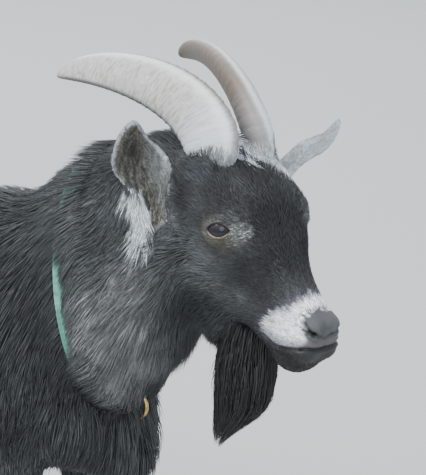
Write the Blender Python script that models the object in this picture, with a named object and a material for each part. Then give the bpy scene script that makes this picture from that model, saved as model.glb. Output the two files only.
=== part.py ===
"""A black pygmy goat with horns, beard and collar, standing with its head turned to its right.

Metres, +Z up. The goat faces +X, its left side is +Y, and it stands on z = 0.
The body is modelled whole, out to the tips of the coat, and then parted with thin cuts.
The head is laid out in its own frame, in centimetres: +X from the eyes to the nostrils, +Y left, +Z to the forehead.
"""

import math
from dataclasses import dataclass

import bmesh
import bpy
from mathutils import Matrix, Vector

# --- driving sizes -------------------------------------------------------------------------------
CM = 0.01
CUT_GAP = 0.0005  # width of the cuts between the parts of the body
FIT_GAP = 0.0007  # room round a piece that is set into another
VOXEL = 0.0032  # grid of the fused body
BODY_TRIANGLES = 2450
HEAD_SHARE = 0.5  # how readily the head gives up triangles, against 1 for the body
LEG_SHARE = 0.8

# The head's place: the point midway between the eyes, and how the head is turned
HEAD_AT = Vector((0.393, -0.045, 0.487))
HEAD_TURN = math.radians(-28)  # to the goat's right
HEAD_NOD = math.radians(28)  # nose down
HEAD = Matrix.Translation(HEAD_AT) @ Matrix.Rotation(HEAD_TURN, 4, "Z") @ Matrix.Rotation(HEAD_NOD, 4, "Y")
HEAD = HEAD @ Matrix.Scale(CM, 4)

EYE_AT = (0.0, 3.72, 1.35)  # left eye, in the head's frame
EYE_RADIUS = 1.32
HORN_DEPTH = 2.66  # half the depth of a horn at its base, from its keel to its rear edge
HORN_FLATNESS = 0.52
HORN_LINE = ((-5.4, 2.4, 4.4), (-10.7, 2.0, 8.7), (-21.3, 6.7, 2.3), (-22.9, 6.5, -0.9))  # left horn
HORN_ROLL = (0.49, 1.10)  # radians by which the keel turns inwards, at the base and at the tip
EAR_WIDTH = 5.5
EAR_THICKNESS = 0.42

FRONT_FOOT = (0.168, 0.062)  # x and y of the middle of a foot
HIND_FOOT = (-0.214, 0.066)
CORONET = 0.0235  # height at which the hooves begin

COLLAR_AT = Vector((0.236, -0.003, 0.409))
COLLAR_LEAN = math.radians(7)  # the collar hangs a little forward at the bottom
COLLAR_HALF_HEIGHT = 0.116
COLLAR_HALF_WIDTH = 0.090
STRAP_WIDTH = 0.018
STRAP_THICKNESS = 0.0028
BUCKLE_SIZE = (0.024, 0.0026, 0.021)
BUCKLE_BAR = 0.0026
RING_RADIUS = 0.0135
RING_WIRE = 0.0022

BLACK_COAT = ("coat_black", (0.022, 0.022, 0.026), 0.75, 0.0)
GREY_HORN = ("horn", (0.33, 0.30, 0.26), 0.5, 0.0)
DARK_HOOF = ("hoof", (0.06, 0.055, 0.05), 0.45, 0.0)
AMBER_EYE = ("eye", (0.30, 0.17, 0.05), 0.08, 0.0)
GREEN_WEB = ("collar_webbing", (0.03, 0.30, 0.17), 0.6, 0.0)
BRASS = ("brass", (0.55, 0.40, 0.16), 0.3, 1.0)


# --- shapes --------------------------------------------------------------------------------------
@dataclass
class Ring:
    """One cross-section of a loft: its centre, half width, height above and depth below the centre."""

    centre: tuple
    half_width: float
    up: float
    down: float
    lean: float = 0.0  # radians by which the ring's plane leans back from upright
    turn: float = 0.0  # radians by which it faces to the left
    roll: float = 0.0  # radians by which its top leans to its left
    squareness: float = 2.2  # 2 is an ellipse, and more is boxier
    under: float = 2.2  # the same, for the lower half


def superellipse(angle, power):
    """The point of a unit superellipse at this angle."""
    c, s = math.cos(angle), math.sin(angle)
    return math.copysign(abs(c) ** (2 / power), c), math.copysign(abs(s) ** (2 / power), s)


def add_ring(bm, ring, segments):
    """Adds a loop of vertices shaped as the ring says, and returns its edges."""
    made = bmesh.ops.create_circle(bm, cap_ends=False, radius=1.0, segments=segments)["verts"]
    place = Matrix.Translation(ring.centre) @ Matrix.Rotation(ring.turn, 4, "Z")
    place = place @ Matrix.Rotation(-ring.lean, 4, "Y") @ Matrix.Rotation(-ring.roll, 4, "X")
    for vertex in made:
        angle = math.atan2(vertex.co.y, vertex.co.x)
        side, height = superellipse(angle, ring.squareness if vertex.co.y >= 0 else ring.under)
        height *= ring.up if height > 0 else ring.down
        vertex.co = place @ Vector((0.0, side * ring.half_width, height))
    return list({edge for vertex in made for edge in vertex.link_edges})


def loft(bm, rings, segments=24):
    """Adds a closed body through the rings."""
    loops = [add_ring(bm, ring, segments) for ring in rings]
    for first, second in zip(loops, loops[1:]):
        bmesh.ops.bridge_loops(bm, edges=first + second)
    for end in (loops[0], loops[-1]):
        bmesh.ops.contextual_create(bm, geom=end)


def ball(bm, centre, radii, tilt=0.0, turn=0.0):
    """Adds an ellipsoid, tilted nose-down by tilt and turned to the left by turn."""
    place = Matrix.Translation(centre) @ Matrix.Rotation(turn, 4, "Z") @ Matrix.Rotation(tilt, 4, "Y")
    bmesh.ops.create_uvsphere(
        bm, u_segments=24, v_segments=14, radius=1.0, matrix=place @ Matrix.Diagonal((*radii, 1.0))
    )


def finish_mesh(bm, name, matrix=None):
    """Turns the bmesh into a mesh whose faces point out, moved by the matrix."""
    if matrix is not None:
        bmesh.ops.transform(bm, matrix=matrix, verts=bm.verts)
    bmesh.ops.recalc_face_normals(bm, faces=bm.faces)
    mesh = bpy.data.meshes.new(name)
    bm.to_mesh(mesh)
    bm.free()
    return mesh


def mirrored(point, side):
    """The point on the left side, or its mirror image on the right for side -1."""
    return (point[0], point[1] * side, point[2])


def new_object(name, mesh, finish=None):
    """Links a mesh to the scene as an object, with its material."""
    obj = bpy.data.objects.new(name, mesh)
    bpy.context.scene.collection.objects.link(obj)
    if finish:
        mesh.materials.clear()
        mesh.materials.append(material(*finish))
    return obj


def material(name, colour, roughness, metallic):
    """The Principled material of this name, made once."""
    if name in bpy.data.materials:
        return bpy.data.materials[name]
    made = bpy.data.materials.new(name)
    made.use_nodes = True
    shader = made.node_tree.nodes["Principled BSDF"]
    shader.inputs["Base Color"].default_value = (*colour, 1.0)
    shader.inputs["Roughness"].default_value = roughness
    shader.inputs["Metallic"].default_value = metallic
    made.diffuse_color = (*colour, 1.0)
    return made


def evaluated_mesh(obj):
    """The object's mesh with its modifiers applied."""
    graph = bpy.context.evaluated_depsgraph_get()
    return bpy.data.meshes.new_from_object(obj.evaluated_get(graph))


def cutter(name, mesh):
    """A helper object that only cuts, and isn't part of the goat."""
    obj = new_object(name, mesh)
    obj.hide_render = True
    obj.display_type = "WIRE"
    return obj


def cut(obj, tools, operation="DIFFERENCE"):
    """Cuts the object with each tool in turn."""
    for tool in tools:
        modifier = obj.modifiers.new(f"{operation}_{tool.name}", "BOOLEAN")
        modifier.operation = operation
        modifier.object = tool
        modifier.solver = "EXACT"


# --- the body, whole -----------------------------------------------------------------------------
def add_trunk(bm):
    """The barrel from the rump to the front of the chest, with shoulders and thighs."""
    loft(
        bm,
        [
            Ring((-0.290, 0, 0.395), 0.045, 0.040, 0.055),
            Ring((-0.268, 0, 0.385), 0.080, 0.068, 0.090),
            Ring((-0.210, 0, 0.370), 0.104, 0.094, 0.115),
            Ring((-0.130, 0, 0.355), 0.118, 0.108, 0.118),
            Ring((-0.040, 0, 0.345), 0.127, 0.110, 0.128),
            Ring((0.045, 0, 0.342), 0.122, 0.120, 0.135),
            Ring((0.115, 0, 0.345), 0.104, 0.135, 0.130, squareness=1.9),
            Ring((0.185, 0, 0.340), 0.092, 0.134, 0.122, squareness=2.0),
            Ring((0.226, 0, 0.320), 0.078, 0.112, 0.112),
            Ring((0.251, 0, 0.300), 0.056, 0.078, 0.082),
            Ring((0.265, 0, 0.285), 0.030, 0.045, 0.052),
        ],
        segments=32,
    )
    for side in (1, -1):
        ball(bm, (0.165, 0.064 * side, 0.345), (0.062, 0.040, 0.105), tilt=math.radians(14))
        ball(bm, (0.205, 0.050 * side, 0.285), (0.050, 0.038, 0.055))
        ball(bm, (-0.205, 0.066 * side, 0.315), (0.082, 0.046, 0.115), tilt=math.radians(-12))
    ball(bm, (0.238, 0, 0.256), (0.036, 0.054, 0.066), tilt=math.radians(-8))


def add_neck(bm):
    """The neck from the chest to the back of the head, thick with long hair."""
    up = math.radians
    loft(
        bm,
        [
            Ring((0.130, 0.000, 0.352), 0.090, 0.118, 0.110, lean=up(4)),
            Ring((0.195, -0.002, 0.375), 0.094, 0.118, 0.108, lean=up(14), turn=up(-2)),
            Ring((0.250, -0.007, 0.418), 0.091, 0.116, 0.101, lean=up(28), turn=up(-6)),
            Ring((0.290, -0.014, 0.452), 0.080, 0.102, 0.072, lean=up(34), turn=up(-12)),
            Ring((0.325, -0.022, 0.482), 0.066, 0.086, 0.066, lean=up(28), turn=up(-18)),
            Ring((0.350, -0.029, 0.498), 0.050, 0.060, 0.060, lean=up(18), turn=up(-24)),
        ],
        segments=32,
    )


def add_tail(bm):
    """The short tail, carried up, as goats do."""
    lift = math.radians
    loft(
        bm,
        [
            Ring((-0.255, 0, 0.415), 0.034, 0.028, 0.030, lean=lift(-25)),
            Ring((-0.288, 0, 0.434), 0.030, 0.022, 0.026, lean=lift(-35)),
            Ring((-0.312, 0, 0.458), 0.027, 0.018, 0.022, lean=lift(-50)),
            Ring((-0.330, 0, 0.486), 0.021, 0.014, 0.017, lean=lift(-62)),
            Ring((-0.338, 0, 0.508), 0.010, 0.007, 0.009, lean=lift(-68)),
        ],
        segments=16,
    )


def level_ring(x, y, z, half_depth, half_width):
    """A ring lying level round a leg, with its depth along X."""
    return Ring((x, y, z), half_width, half_depth, half_depth, lean=math.pi / 2)


def add_front_leg(bm, side):
    """A front leg from the elbow to the top of the hooves."""
    x, y = FRONT_FOOT[0], FRONT_FOOT[1] * side
    profile = [  # forward of the foot, height, half depth, half width
        (-0.018, 0.300, 0.050, 0.036),
        (-0.024, 0.245, 0.041, 0.031),
        (-0.014, 0.200, 0.0300, 0.0255),
        (-0.009, 0.160, 0.0240, 0.0215),
        (-0.006, 0.132, 0.0255, 0.0235),
        (-0.007, 0.110, 0.0225, 0.0205),
        (-0.009, 0.080, 0.0175, 0.0165),
        (-0.009, 0.054, 0.0200, 0.0190),
        (-0.003, 0.038, 0.0180, 0.0185),
        (0.001, CORONET, 0.0205, 0.0205),
    ]
    loft(bm, [level_ring(x + ahead, y, z, depth, width) for ahead, z, depth, width in profile], segments=16)


def add_hind_leg(bm, side):
    """A hind leg from the thigh past the hock to the top of the hooves."""
    x, y = HIND_FOOT[0], HIND_FOOT[1] * side
    profile = [
        (0.022, 0.315, 0.074, 0.040),
        (0.018, 0.262, 0.064, 0.037),
        (0.008, 0.222, 0.046, 0.031),
        (-0.012, 0.190, 0.033, 0.0255),
        (-0.030, 0.163, 0.0255, 0.0205),
        (-0.036, 0.143, 0.0275, 0.0205),
        (-0.030, 0.122, 0.0235, 0.0195),
        (-0.021, 0.088, 0.0180, 0.0165),
        (-0.014, 0.056, 0.0200, 0.0190),
        (-0.004, 0.038, 0.0180, 0.0185),
        (0.001, CORONET, 0.0205, 0.0205),
    ]
    loft(bm, [level_ring(x + ahead, y, z, depth, width) for ahead, z, depth, width in profile], segments=16)


def add_head(bm):
    """The head without ears, horns and beard, in its own frame and in centimetres."""
    loft(
        bm,
        [
            Ring((-9.6, 0, -1.6), 3.6, 3.6, 4.6),
            Ring((-7.6, 0, -1.2), 4.7, 5.4, 7.4, under=2.0),
            Ring((-4.8, 0, -0.8), 5.0, 6.2, 9.2, squareness=2.5, under=2.0),
            Ring((-1.8, 0, -0.2), 4.7, 5.5, 10.0, squareness=2.7, under=2.1),
            Ring((1.2, 0, -0.3), 3.9, 4.5, 9.6, squareness=2.6, under=2.2),
            Ring((4.0, 0, -1.0), 2.75, 3.4, 7.2, squareness=2.4, under=2.1),
            Ring((6.8, 0, -1.9), 2.2, 3.2, 5.0, squareness=2.3, under=2.2),
            Ring((9.3, 0, -2.3), 2.05, 3.0, 4.0, squareness=2.2, under=2.4),
            Ring((10.9, 0, -2.2), 1.8, 2.3, 3.4, squareness=2.2, under=2.3),
            Ring((11.6, 0, -1.9), 1.5, 1.6, 2.6),
            Ring((11.9, 0, -1.7), 0.9, 0.9, 1.6),
        ],
        segments=32,
    )
    for side in (1, -1):
        ball(bm, (-0.2, 2.9 * side, 2.5), (2.6, 1.65, 1.5), tilt=math.radians(8))  # brow over the eye
        ball(bm, (0.3, 3.2 * side, -0.1), (2.6, 1.45, 1.25))  # cheekbone under it
        ball(bm, (-3.6, 3.1 * side, -4.6), (4.2, 2.2, 4.3), tilt=math.radians(-20))  # cheek
        ball(bm, (10.7, 0.9 * side, -0.5), (1.1, 0.85, 0.9))  # nostril's wing
        ball(bm, (9.8, 1.2 * side, -2.9), (2.6, 1.25, 1.4))  # upper lip
        ball(bm, (-6.0, 2.5 * side, 3.2), (2.7, 2.2, 2.3))  # crown at the horn
        ball(bm, (-7.2, 3.7 * side, -2.6), (2.0, 1.5, 2.2))  # root of the ear
    ball(bm, (9.2, 0, -5.2), (2.1, 1.7, 1.4), tilt=math.radians(-8))  # chin and lower lip
    ball(bm, (0.3, 0, -9.3), (3.8, 3.4, 2.7), tilt=math.radians(-8))  # long hair under the jaw
    ball(bm, (-5.5, 0, 3.6), (3.6, 2.8, 2.5))  # poll between the horns


def weigh_for_decimation(mesh, obj):
    """Gives the head a low weight, so that it keeps more triangles than the body."""
    group = obj.vertex_groups.new(name="gives_way")
    to_head = HEAD.inverted()
    for vertex in mesh.vertices:
        in_head = to_head @ vertex.co
        on_head = in_head.x > -10 and in_head.z > -10.5
        share = HEAD_SHARE if on_head else LEG_SHARE if vertex.co.z < 0.2 else 1.0
        group.add([vertex.index], share, "REPLACE")
    return group.name


def whole_body():
    """Fuses trunk, neck, tail, legs and head into one smooth closed mesh."""
    bm = bmesh.new()
    add_trunk(bm)
    add_neck(bm)
    add_tail(bm)
    for side in (1, -1):
        add_front_leg(bm, side)
        add_hind_leg(bm, side)
    head = bmesh.new()
    add_head(head)
    head_mesh = finish_mesh(head, "head_form", HEAD)
    bm.from_mesh(head_mesh)
    form = cutter("form", finish_mesh(bm, "form"))
    fuse = form.modifiers.new("Fuse", "REMESH")
    fuse.mode = "VOXEL"
    fuse.voxel_size = VOXEL
    blend = form.modifiers.new("Blend", "SMOOTH")
    blend.factor = 0.5
    blend.iterations = 10
    fused = evaluated_mesh(form)
    bpy.data.objects.remove(form)
    smooth = cutter("smooth_form", fused)
    thin = smooth.modifiers.new("Thin", "DECIMATE")
    thin.vertex_group = weigh_for_decimation(fused, smooth)
    thin.vertex_group_factor = 0.05
    fused.calc_loop_triangles()
    thin.ratio = BODY_TRIANGLES / len(fused.loop_triangles)
    body = evaluated_mesh(smooth)
    bpy.data.objects.remove(smooth)
    return body


# --- the cuts that part the body -----------------------------------------------------------------
@dataclass
class Plane:
    """A cutting plane. The part that it bounds lies behind its normal."""

    point: tuple
    normal: tuple


def block(name, planes, grow=0.0):
    """A convex cutter: a big cube cut down to what lies behind every plane, each moved out by grow."""
    bm = bmesh.new()
    bmesh.ops.create_cube(bm, size=3.0)
    for plane in planes:
        normal = Vector(plane.normal).normalized()
        cut_at = Vector(plane.point) + normal * grow
        whole = list(bm.verts) + list(bm.edges) + list(bm.faces)
        made = bmesh.ops.bisect_plane(bm, geom=whole, plane_co=cut_at, plane_no=normal, clear_outer=True)
        rim = [item for item in made["geom_cut"] if isinstance(item, bmesh.types.BMEdge)]
        bmesh.ops.contextual_create(bm, geom=rim)
    return cutter(name, finish_mesh(bm, name))


def head_planes():
    """The head lies in front of the nape and above the throat."""
    turn = HEAD.to_3x3().normalized()
    return [
        Plane(tuple(HEAD @ Vector((-10.9, 0, 3.0))), tuple(turn @ Vector((-0.926, 0, -0.377)))),
        Plane(tuple(HEAD @ Vector((0, 0, -10.4))), tuple(turn @ Vector((-0.25, 0, -0.968)))),
    ]


def neck_planes():
    """The neck, with the head, lies in front of a plane behind the collar and above one under it."""
    tilt = Matrix.Rotation(-COLLAR_LEAN, 3, "Y")
    back, down = tilt @ Vector((-1, 0, 0)), tilt @ Vector((0, 0, -1))
    room = STRAP_WIDTH / 2 + 0.007
    under = COLLAR_HALF_HEIGHT + 0.016
    return [
        Plane(tuple(COLLAR_AT + back * room), tuple(back)),
        Plane(tuple(COLLAR_AT + down * under), tuple(down)),
    ]


def tail_planes():
    """The tail starts where it leaves the rump."""
    return [Plane((-0.281, 0, 0.425), (0.80, 0, -0.60))]


def leg_planes(front, side):
    """A leg and its shoulder or thigh, under a plane that climbs outwards from the groin."""
    slope = math.radians(50 if front else 55)
    groin = 0.236 if front else 0.246
    planes = [
        Plane((0, 0.003 * side, 0), (0, -side, 0)),
        Plane((0, 0.010 * side, groin), (0, -math.sin(slope) * side, math.cos(slope))),
    ]
    if front:
        planes.append(Plane((0.095, 0, 0.22), (-1, 0, -0.15)))
        planes.append(Plane((0.226, 0, 0.22), (1, 0, 0.10)))
    else:
        planes.append(Plane((-0.112, 0, 0.25), (1, 0, 0.30)))
    return planes


# --- pieces set into the body --------------------------------------------------------------------
def grown(name, mesh, gap=FIT_GAP):
    """A cutter: the mesh with its surface moved out by the gap."""
    bm = bmesh.new()
    bm.from_mesh(mesh)
    bm.normal_update()
    moves = [(vertex, vertex.normal * gap) for vertex in bm.verts]
    for vertex, move in moves:
        vertex.co += move
    return cutter(name, finish_mesh(bm, name))


def fused_mesh(bm, name, voxel, triangles, iterations=2, matrix=None):
    """Fuses overlapping shapes into one smooth mesh of about so many triangles."""
    form = cutter("form_" + name, finish_mesh(bm, name))
    fuse = form.modifiers.new("Fuse", "REMESH")
    fuse.mode = "VOXEL"
    fuse.voxel_size = voxel
    blend = form.modifiers.new("Blend", "SMOOTH")
    blend.iterations = iterations
    fused = evaluated_mesh(form)
    fused.calc_loop_triangles()
    form.modifiers.clear()
    form.data = fused
    thin = form.modifiers.new("Thin", "DECIMATE")
    thin.ratio = triangles / len(fused.loop_triangles)
    made = evaluated_mesh(form)
    bpy.data.objects.remove(form)
    if matrix is not None:
        made.transform(matrix)
    made.name = name
    return made


def bezier(points, t):
    """The point and the direction of a cubic Bezier curve at t."""
    a, b, c, d = (Vector(point) for point in points)
    s = 1 - t
    point = a * s**3 + b * 3 * s * s * t + c * 3 * s * t * t + d * t**3
    slope = (b - a) * 3 * s * s + (c - b) * 6 * s * t + (d - c) * 3 * t * t
    return point, slope.normalized()


def horn_mesh(side):
    """A scimitar horn that sweeps back over the neck, flattened, with its keel turned in."""
    steps, root = 12, -0.07
    rings = []
    for step in range(steps + 1):
        t = root + (0.985 - root) * (step / steps) ** 0.85
        centre, along = bezier([mirrored(point, side) for point in HORN_LINE], t)
        depth = HORN_DEPTH * math.sqrt(1 - max(t, 0.0) ** 1.2)
        roll = HORN_ROLL[0] + (HORN_ROLL[1] - HORN_ROLL[0]) * t
        lean, turn = math.asin(along.z), math.atan2(along.y, along.x)
        rings.append(
            Ring(tuple(centre), depth * HORN_FLATNESS, depth, depth * 0.97, lean, turn, roll * side, 1.8, 2.3)
        )
    bm = bmesh.new()
    loft(bm, rings, segments=14)
    return finish_mesh(bm, "horn", HEAD)


@dataclass
class EarPose:
    """How an ear is carried, in the head's frame: its midline's four points, and where it opens."""

    line: tuple
    opens: tuple


EARS = {
    "right": EarPose(
        ((-7.3, -4.4, -3.7), (-8.0, -6.1, -1.1), (-8.9, -7.7, 2.7), (-9.5, -8.0, 5.3)), (0.90, -0.40, 0.10)
    ),
    "left": EarPose(
        ((-7.3, 4.2, -3.4), (-7.4, 8.6, -1.4), (-6.6, 13.5, -1.7), (-8.5, 13.9, 2.0)), (0.93, 0.10, -0.30)
    ),
}


def ear_outline(t):
    """Half the ear's width across its curl, at the share t of its length."""
    widest = 0.42
    if t < widest:
        return EAR_WIDTH / 2 * (1 - 0.5 * ((widest - t) / widest) ** 2)
    return EAR_WIDTH / 2 * max(0.0, 1 - ((t - widest) / 0.595) ** 1.7) ** 0.75


def ear_mesh(side_name):
    """A leaf-shaped ear, rolled into a funnel at its root and open towards its tip."""
    pose = EARS[side_name]
    bm = bmesh.new()
    bmesh.ops.create_grid(bm, x_segments=10, y_segments=18, size=1.0)
    for vertex in bm.verts:
        u, t = vertex.co.x, (vertex.co.y + 1) / 2
        centre, along = bezier(pose.line, t)
        opens = Vector(pose.opens)
        opens = (opens - along * opens.dot(along)).normalized()
        curl = math.radians(140 - 200 * min(t, 0.45) - 30 * max(t - 0.45, 0))
        radius = ear_outline(t) / curl
        sideways = along.cross(opens) * radius * math.sin(u * curl)
        vertex.co = centre + sideways + opens * radius * (0.6 - math.cos(u * curl))
    bmesh.ops.recalc_face_normals(bm, faces=bm.faces)
    bmesh.ops.solidify(bm, geom=list(bm.faces), thickness=EAR_THICKNESS)
    ball(bm, pose.line[0], (1.3, 1.3, 1.5))
    return fused_mesh(bm, "ear", voxel=0.13, triangles=360, matrix=HEAD)


def eye_mesh(side):
    """An eyeball."""
    bm = bmesh.new()
    at = Matrix.Translation(mirrored(EYE_AT, side))
    bmesh.ops.create_uvsphere(bm, u_segments=12, v_segments=8, radius=EYE_RADIUS, matrix=at)
    return finish_mesh(bm, "eye", HEAD)


def beard_mesh():
    """The beard, a broad lock that hangs from the chin and the jaw and ends in a point at the back."""
    ahead = Vector((math.cos(HEAD_TURN), math.sin(HEAD_TURN), 0))
    profile = [  # height, forward of the eyes, half length, half width
        (0.410, -0.004, 0.026, 0.016),
        (0.392, -0.009, 0.032, 0.021),
        (0.366, -0.012, 0.034, 0.024),
        (0.345, -0.015, 0.034, 0.0235),
        (0.330, -0.018, 0.032, 0.0225),
        (0.313, -0.028, 0.024, 0.017),
        (0.297, -0.041, 0.0155, 0.011),
        (0.282, -0.051, 0.0085, 0.006),
        (0.275, -0.055, 0.004, 0.003),
    ]
    rings = []
    for height, forward, length, width in profile:
        centre = Vector((HEAD_AT.x, HEAD_AT.y, height)) + ahead * forward
        rings.append(Ring(tuple(centre), width, length, length, lean=math.pi / 2, turn=HEAD_TURN))
    bm = bmesh.new()
    loft(bm, rings, segments=12)
    return finish_mesh(bm, "beard")


def claw_mesh(foot, side, half):
    """One claw of a cloven hoof: flat below and inside, round outside, sloping up to the coronet."""
    x, y = foot[0], foot[1] * side
    height = CORONET - 0.0008
    profile = [(0.0, 0.009, 0.0265, 0.0122), (0.45, 0.005, 0.0240, 0.0122), (1.0, 0.000, 0.0200, 0.0110)]
    split = 0.0009
    bm = bmesh.new()
    rings = [
        Ring((x + ahead, y, share * height), width * 2, depth, depth, lean=math.pi / 2, squareness=2.4, under=1.9)
        for share, ahead, depth, width in profile
    ]
    loft(bm, rings, segments=16)
    middle = (x, y + split * half, 0)
    whole = list(bm.verts) + list(bm.edges) + list(bm.faces)
    made = bmesh.ops.bisect_plane(bm, geom=whole, plane_co=middle, plane_no=(0, -half, 0), clear_outer=True)
    rim = [item for item in made["geom_cut"] if isinstance(item, bmesh.types.BMEdge)]
    bmesh.ops.contextual_create(bm, geom=rim)
    return finish_mesh(bm, "claw")


def dewclaw_mesh(foot, side, half):
    """A dewclaw behind the fetlock."""
    bm = bmesh.new()
    centre = (foot[0] - 0.027, foot[1] * side + 0.0085 * half, 0.047)
    place = Matrix.Translation(centre) @ Matrix.Rotation(math.radians(35), 4, "Y")
    bmesh.ops.create_uvsphere(
        bm, u_segments=8, v_segments=5, radius=1.0, matrix=place @ Matrix.Diagonal((0.0065, 0.0055, 0.0095, 1.0))
    )
    return finish_mesh(bm, "dewclaw")


# --- collar --------------------------------------------------------------------------------------
def collar_frame():
    """The collar's own frame: X across the strap, Y to the left and Z up, in its leaning plane."""
    return Matrix.Translation(COLLAR_AT) @ Matrix.Rotation(-COLLAR_LEAN, 4, "Y")


def strap_mesh(inner, outer, width):
    """A band round the neck, from inner to outer beyond the collar's oval, and this wide."""
    segments = 40
    bm = bmesh.new()
    loops = []
    for step in range(segments):
        angle = 2 * math.pi * step / segments
        out = Vector((0, math.cos(angle) / COLLAR_HALF_WIDTH, math.sin(angle) / COLLAR_HALF_HEIGHT)).normalized()
        on = Vector((0, math.cos(angle) * COLLAR_HALF_WIDTH, math.sin(angle) * COLLAR_HALF_HEIGHT))
        corners = [(-width / 2, inner), (width / 2, inner), (width / 2, outer), (-width / 2, outer)]
        made = [bm.verts.new(on + out * reach + Vector((across, 0, 0))) for across, reach in corners]
        loops.append([bm.edges.new((made[i], made[(i + 1) % 4])) for i in range(4)])
    for step in range(segments):
        bmesh.ops.bridge_loops(bm, edges=loops[step] + loops[(step + 1) % segments])
    return finish_mesh(bm, "strap", collar_frame())


def ring_mesh():
    """The brass ring that hangs round the strap at its lowest point."""
    major, minor, clearance = 20, 6, 0.0006
    bm = bmesh.new()
    section = bmesh.ops.create_circle(bm, cap_ends=False, radius=RING_WIRE, segments=minor)["verts"]
    bmesh.ops.translate(bm, vec=(RING_RADIUS, 0, 0), verts=section)
    bmesh.ops.rotate(bm, cent=(0, 0, 0), matrix=Matrix.Rotation(math.pi / 2, 3, "X"), verts=section)
    edges = list(bm.edges)
    bmesh.ops.spin(
        bm, geom=section + edges, cent=(0, 0, 0), axis=(0, 0, 1), angle=2 * math.pi, steps=major, use_merge=True
    )
    bmesh.ops.rotate(bm, cent=(0, 0, 0), matrix=Matrix.Rotation(math.pi / 2, 3, "X"), verts=bm.verts)
    hang = math.sqrt((RING_RADIUS - RING_WIRE - clearance) ** 2 - (STRAP_WIDTH / 2) ** 2)
    return finish_mesh(bm, "ring", collar_frame() @ Matrix.Translation((0, 0, -COLLAR_HALF_HEIGHT - hang)))


def box_mesh(name, centre, size, grow=0.0):
    """A box in the collar's frame."""
    bm = bmesh.new()
    bmesh.ops.create_cube(bm, size=1.0)
    bmesh.ops.scale(bm, vec=[length + 2 * grow for length in size], verts=bm.verts)
    bmesh.ops.translate(bm, vec=centre, verts=bm.verts)
    return finish_mesh(bm, name, collar_frame())


def buckle_at():
    """The middle of the buckle, on the outside of the strap at the left of the neck."""
    return Vector((0, COLLAR_HALF_WIDTH + STRAP_THICKNESS + FIT_GAP + BUCKLE_SIZE[1] / 2, 0))


def add_buckle():
    """The buckle, a frame with a bar across its middle."""
    buckle = new_object("collar_buckle", box_mesh("buckle", buckle_at(), BUCKLE_SIZE), BRASS)
    width, depth, height = BUCKLE_SIZE
    window = (width - 2 * BUCKLE_BAR, depth * 2, (height - 3 * BUCKLE_BAR) / 2)
    rise = Vector((0, 0, (window[2] + BUCKLE_BAR) / 2))
    places = {"upper": buckle_at() + rise, "lower": buckle_at() - rise}
    cut(buckle, [cutter(f"window_{name}", box_mesh("window", place, window)) for name, place in places.items()])


# --- the goat ------------------------------------------------------------------------------------
def add_part(name, body, region, finish=BLACK_COAT):
    """A part of the body: what lies inside the region's block."""
    part = new_object(name, body.copy(), finish)
    cut(part, [block(f"keep_{name}", region)], "INTERSECT")
    return part


def build_goat():
    """Builds every part, set into its neighbours with a hairline gap."""
    body = whole_body()
    sides = {"left": 1, "right": -1}

    set_in_head = {}
    for name, side in sides.items():
        set_in_head[f"horn_{name}"] = (horn_mesh(side), GREY_HORN)
        set_in_head[f"ear_{name}"] = (ear_mesh(name), BLACK_COAT)
        set_in_head[f"eye_{name}"] = (eye_mesh(side), AMBER_EYE)
    set_in_head["beard"] = (beard_mesh(), BLACK_COAT)

    head = add_part("head", body, head_planes())
    neck = add_part("neck", body, neck_planes())
    cut(neck, [block("gap_head", head_planes(), CUT_GAP)])
    add_part("tail", body, tail_planes())
    trunk = new_object("trunk", body.copy(), BLACK_COAT)
    gaps = [
        block("gap_neck", neck_planes(), CUT_GAP),
        block("gap_tail", tail_planes(), CUT_GAP),
    ]
    feet = {"front": FRONT_FOOT, "hind": HIND_FOOT}
    for end, foot in feet.items():
        for name, side in sides.items():
            region = leg_planes(end == "front", side)
            leg = add_part(f"leg_{end}_{name}", body, region)
            gaps.append(block(f"gap_{end}_{name}", region, CUT_GAP))
            pockets = []
            for half_name, half in (("outer", side), ("inner", -side)):
                new_object(f"hoof_{end}_{name}_{half_name}", claw_mesh(foot, side, half), DARK_HOOF)
                dewclaw = new_object(
                    f"dewclaw_{end}_{name}_{half_name}", dewclaw_mesh(foot, side, half), DARK_HOOF
                )
                pockets.append(grown(f"pocket_{dewclaw.name}", dewclaw.data))
            cut(leg, pockets)
    cut(trunk, gaps)

    for name, (mesh, finish) in set_in_head.items():
        piece = new_object(name, mesh, finish)
        pocket = grown(f"pocket_{name}", piece.data)
        cut(head, [pocket])
        if name.startswith(("ear", "beard")):
            cut(neck, [pocket])

    new_object("collar", strap_mesh(0.0, STRAP_THICKNESS, STRAP_WIDTH), GREEN_WEB)
    groove = cutter("groove", strap_mesh(-FIT_GAP, 0.045, STRAP_WIDTH + 0.003))
    ring = new_object("collar_ring", ring_mesh(), BRASS)
    add_buckle()
    buckle_room = cutter("buckle_room", box_mesh("buckle_room", buckle_at(), BUCKLE_SIZE, grow=0.001))
    cut(neck, [groove, buckle_room, grown("pocket_ring", ring.data, 0.0008)])
    cut(trunk, [grown("pocket_ring_trunk", ring.data, 0.0008)])


def smooth_shading():
    """Shades every part smooth, with creases at its sharp edges."""
    for obj in bpy.context.scene.objects:
        if obj.type == "MESH" and not obj.hide_render:
            obj.data.shade_smooth()
            obj.data.set_sharp_from_angle(angle=math.radians(50))


def stand_at_origin():
    """Moves the whole goat, with its cutters, so that the middle of its footprint box is the origin."""
    graph = bpy.context.evaluated_depsgraph_get()
    low, high = Vector((1e9, 1e9, 1e9)), Vector((-1e9, -1e9, -1e9))
    for obj in bpy.context.scene.objects:
        if obj.hide_render:
            continue
        for vertex in obj.evaluated_get(graph).data.vertices:
            for axis in range(3):
                low[axis] = min(low[axis], vertex.co[axis])
                high[axis] = max(high[axis], vertex.co[axis])
    middle = (low + high) / 2
    for obj in bpy.context.scene.objects:
        obj.location = (-middle.x, -middle.y, -low.z)


def main():
    """Clears the scene and builds the goat."""
    for obj in list(bpy.data.objects):
        bpy.data.objects.remove(obj)
    build_goat()
    smooth_shading()
    stand_at_origin()


main()
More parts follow.
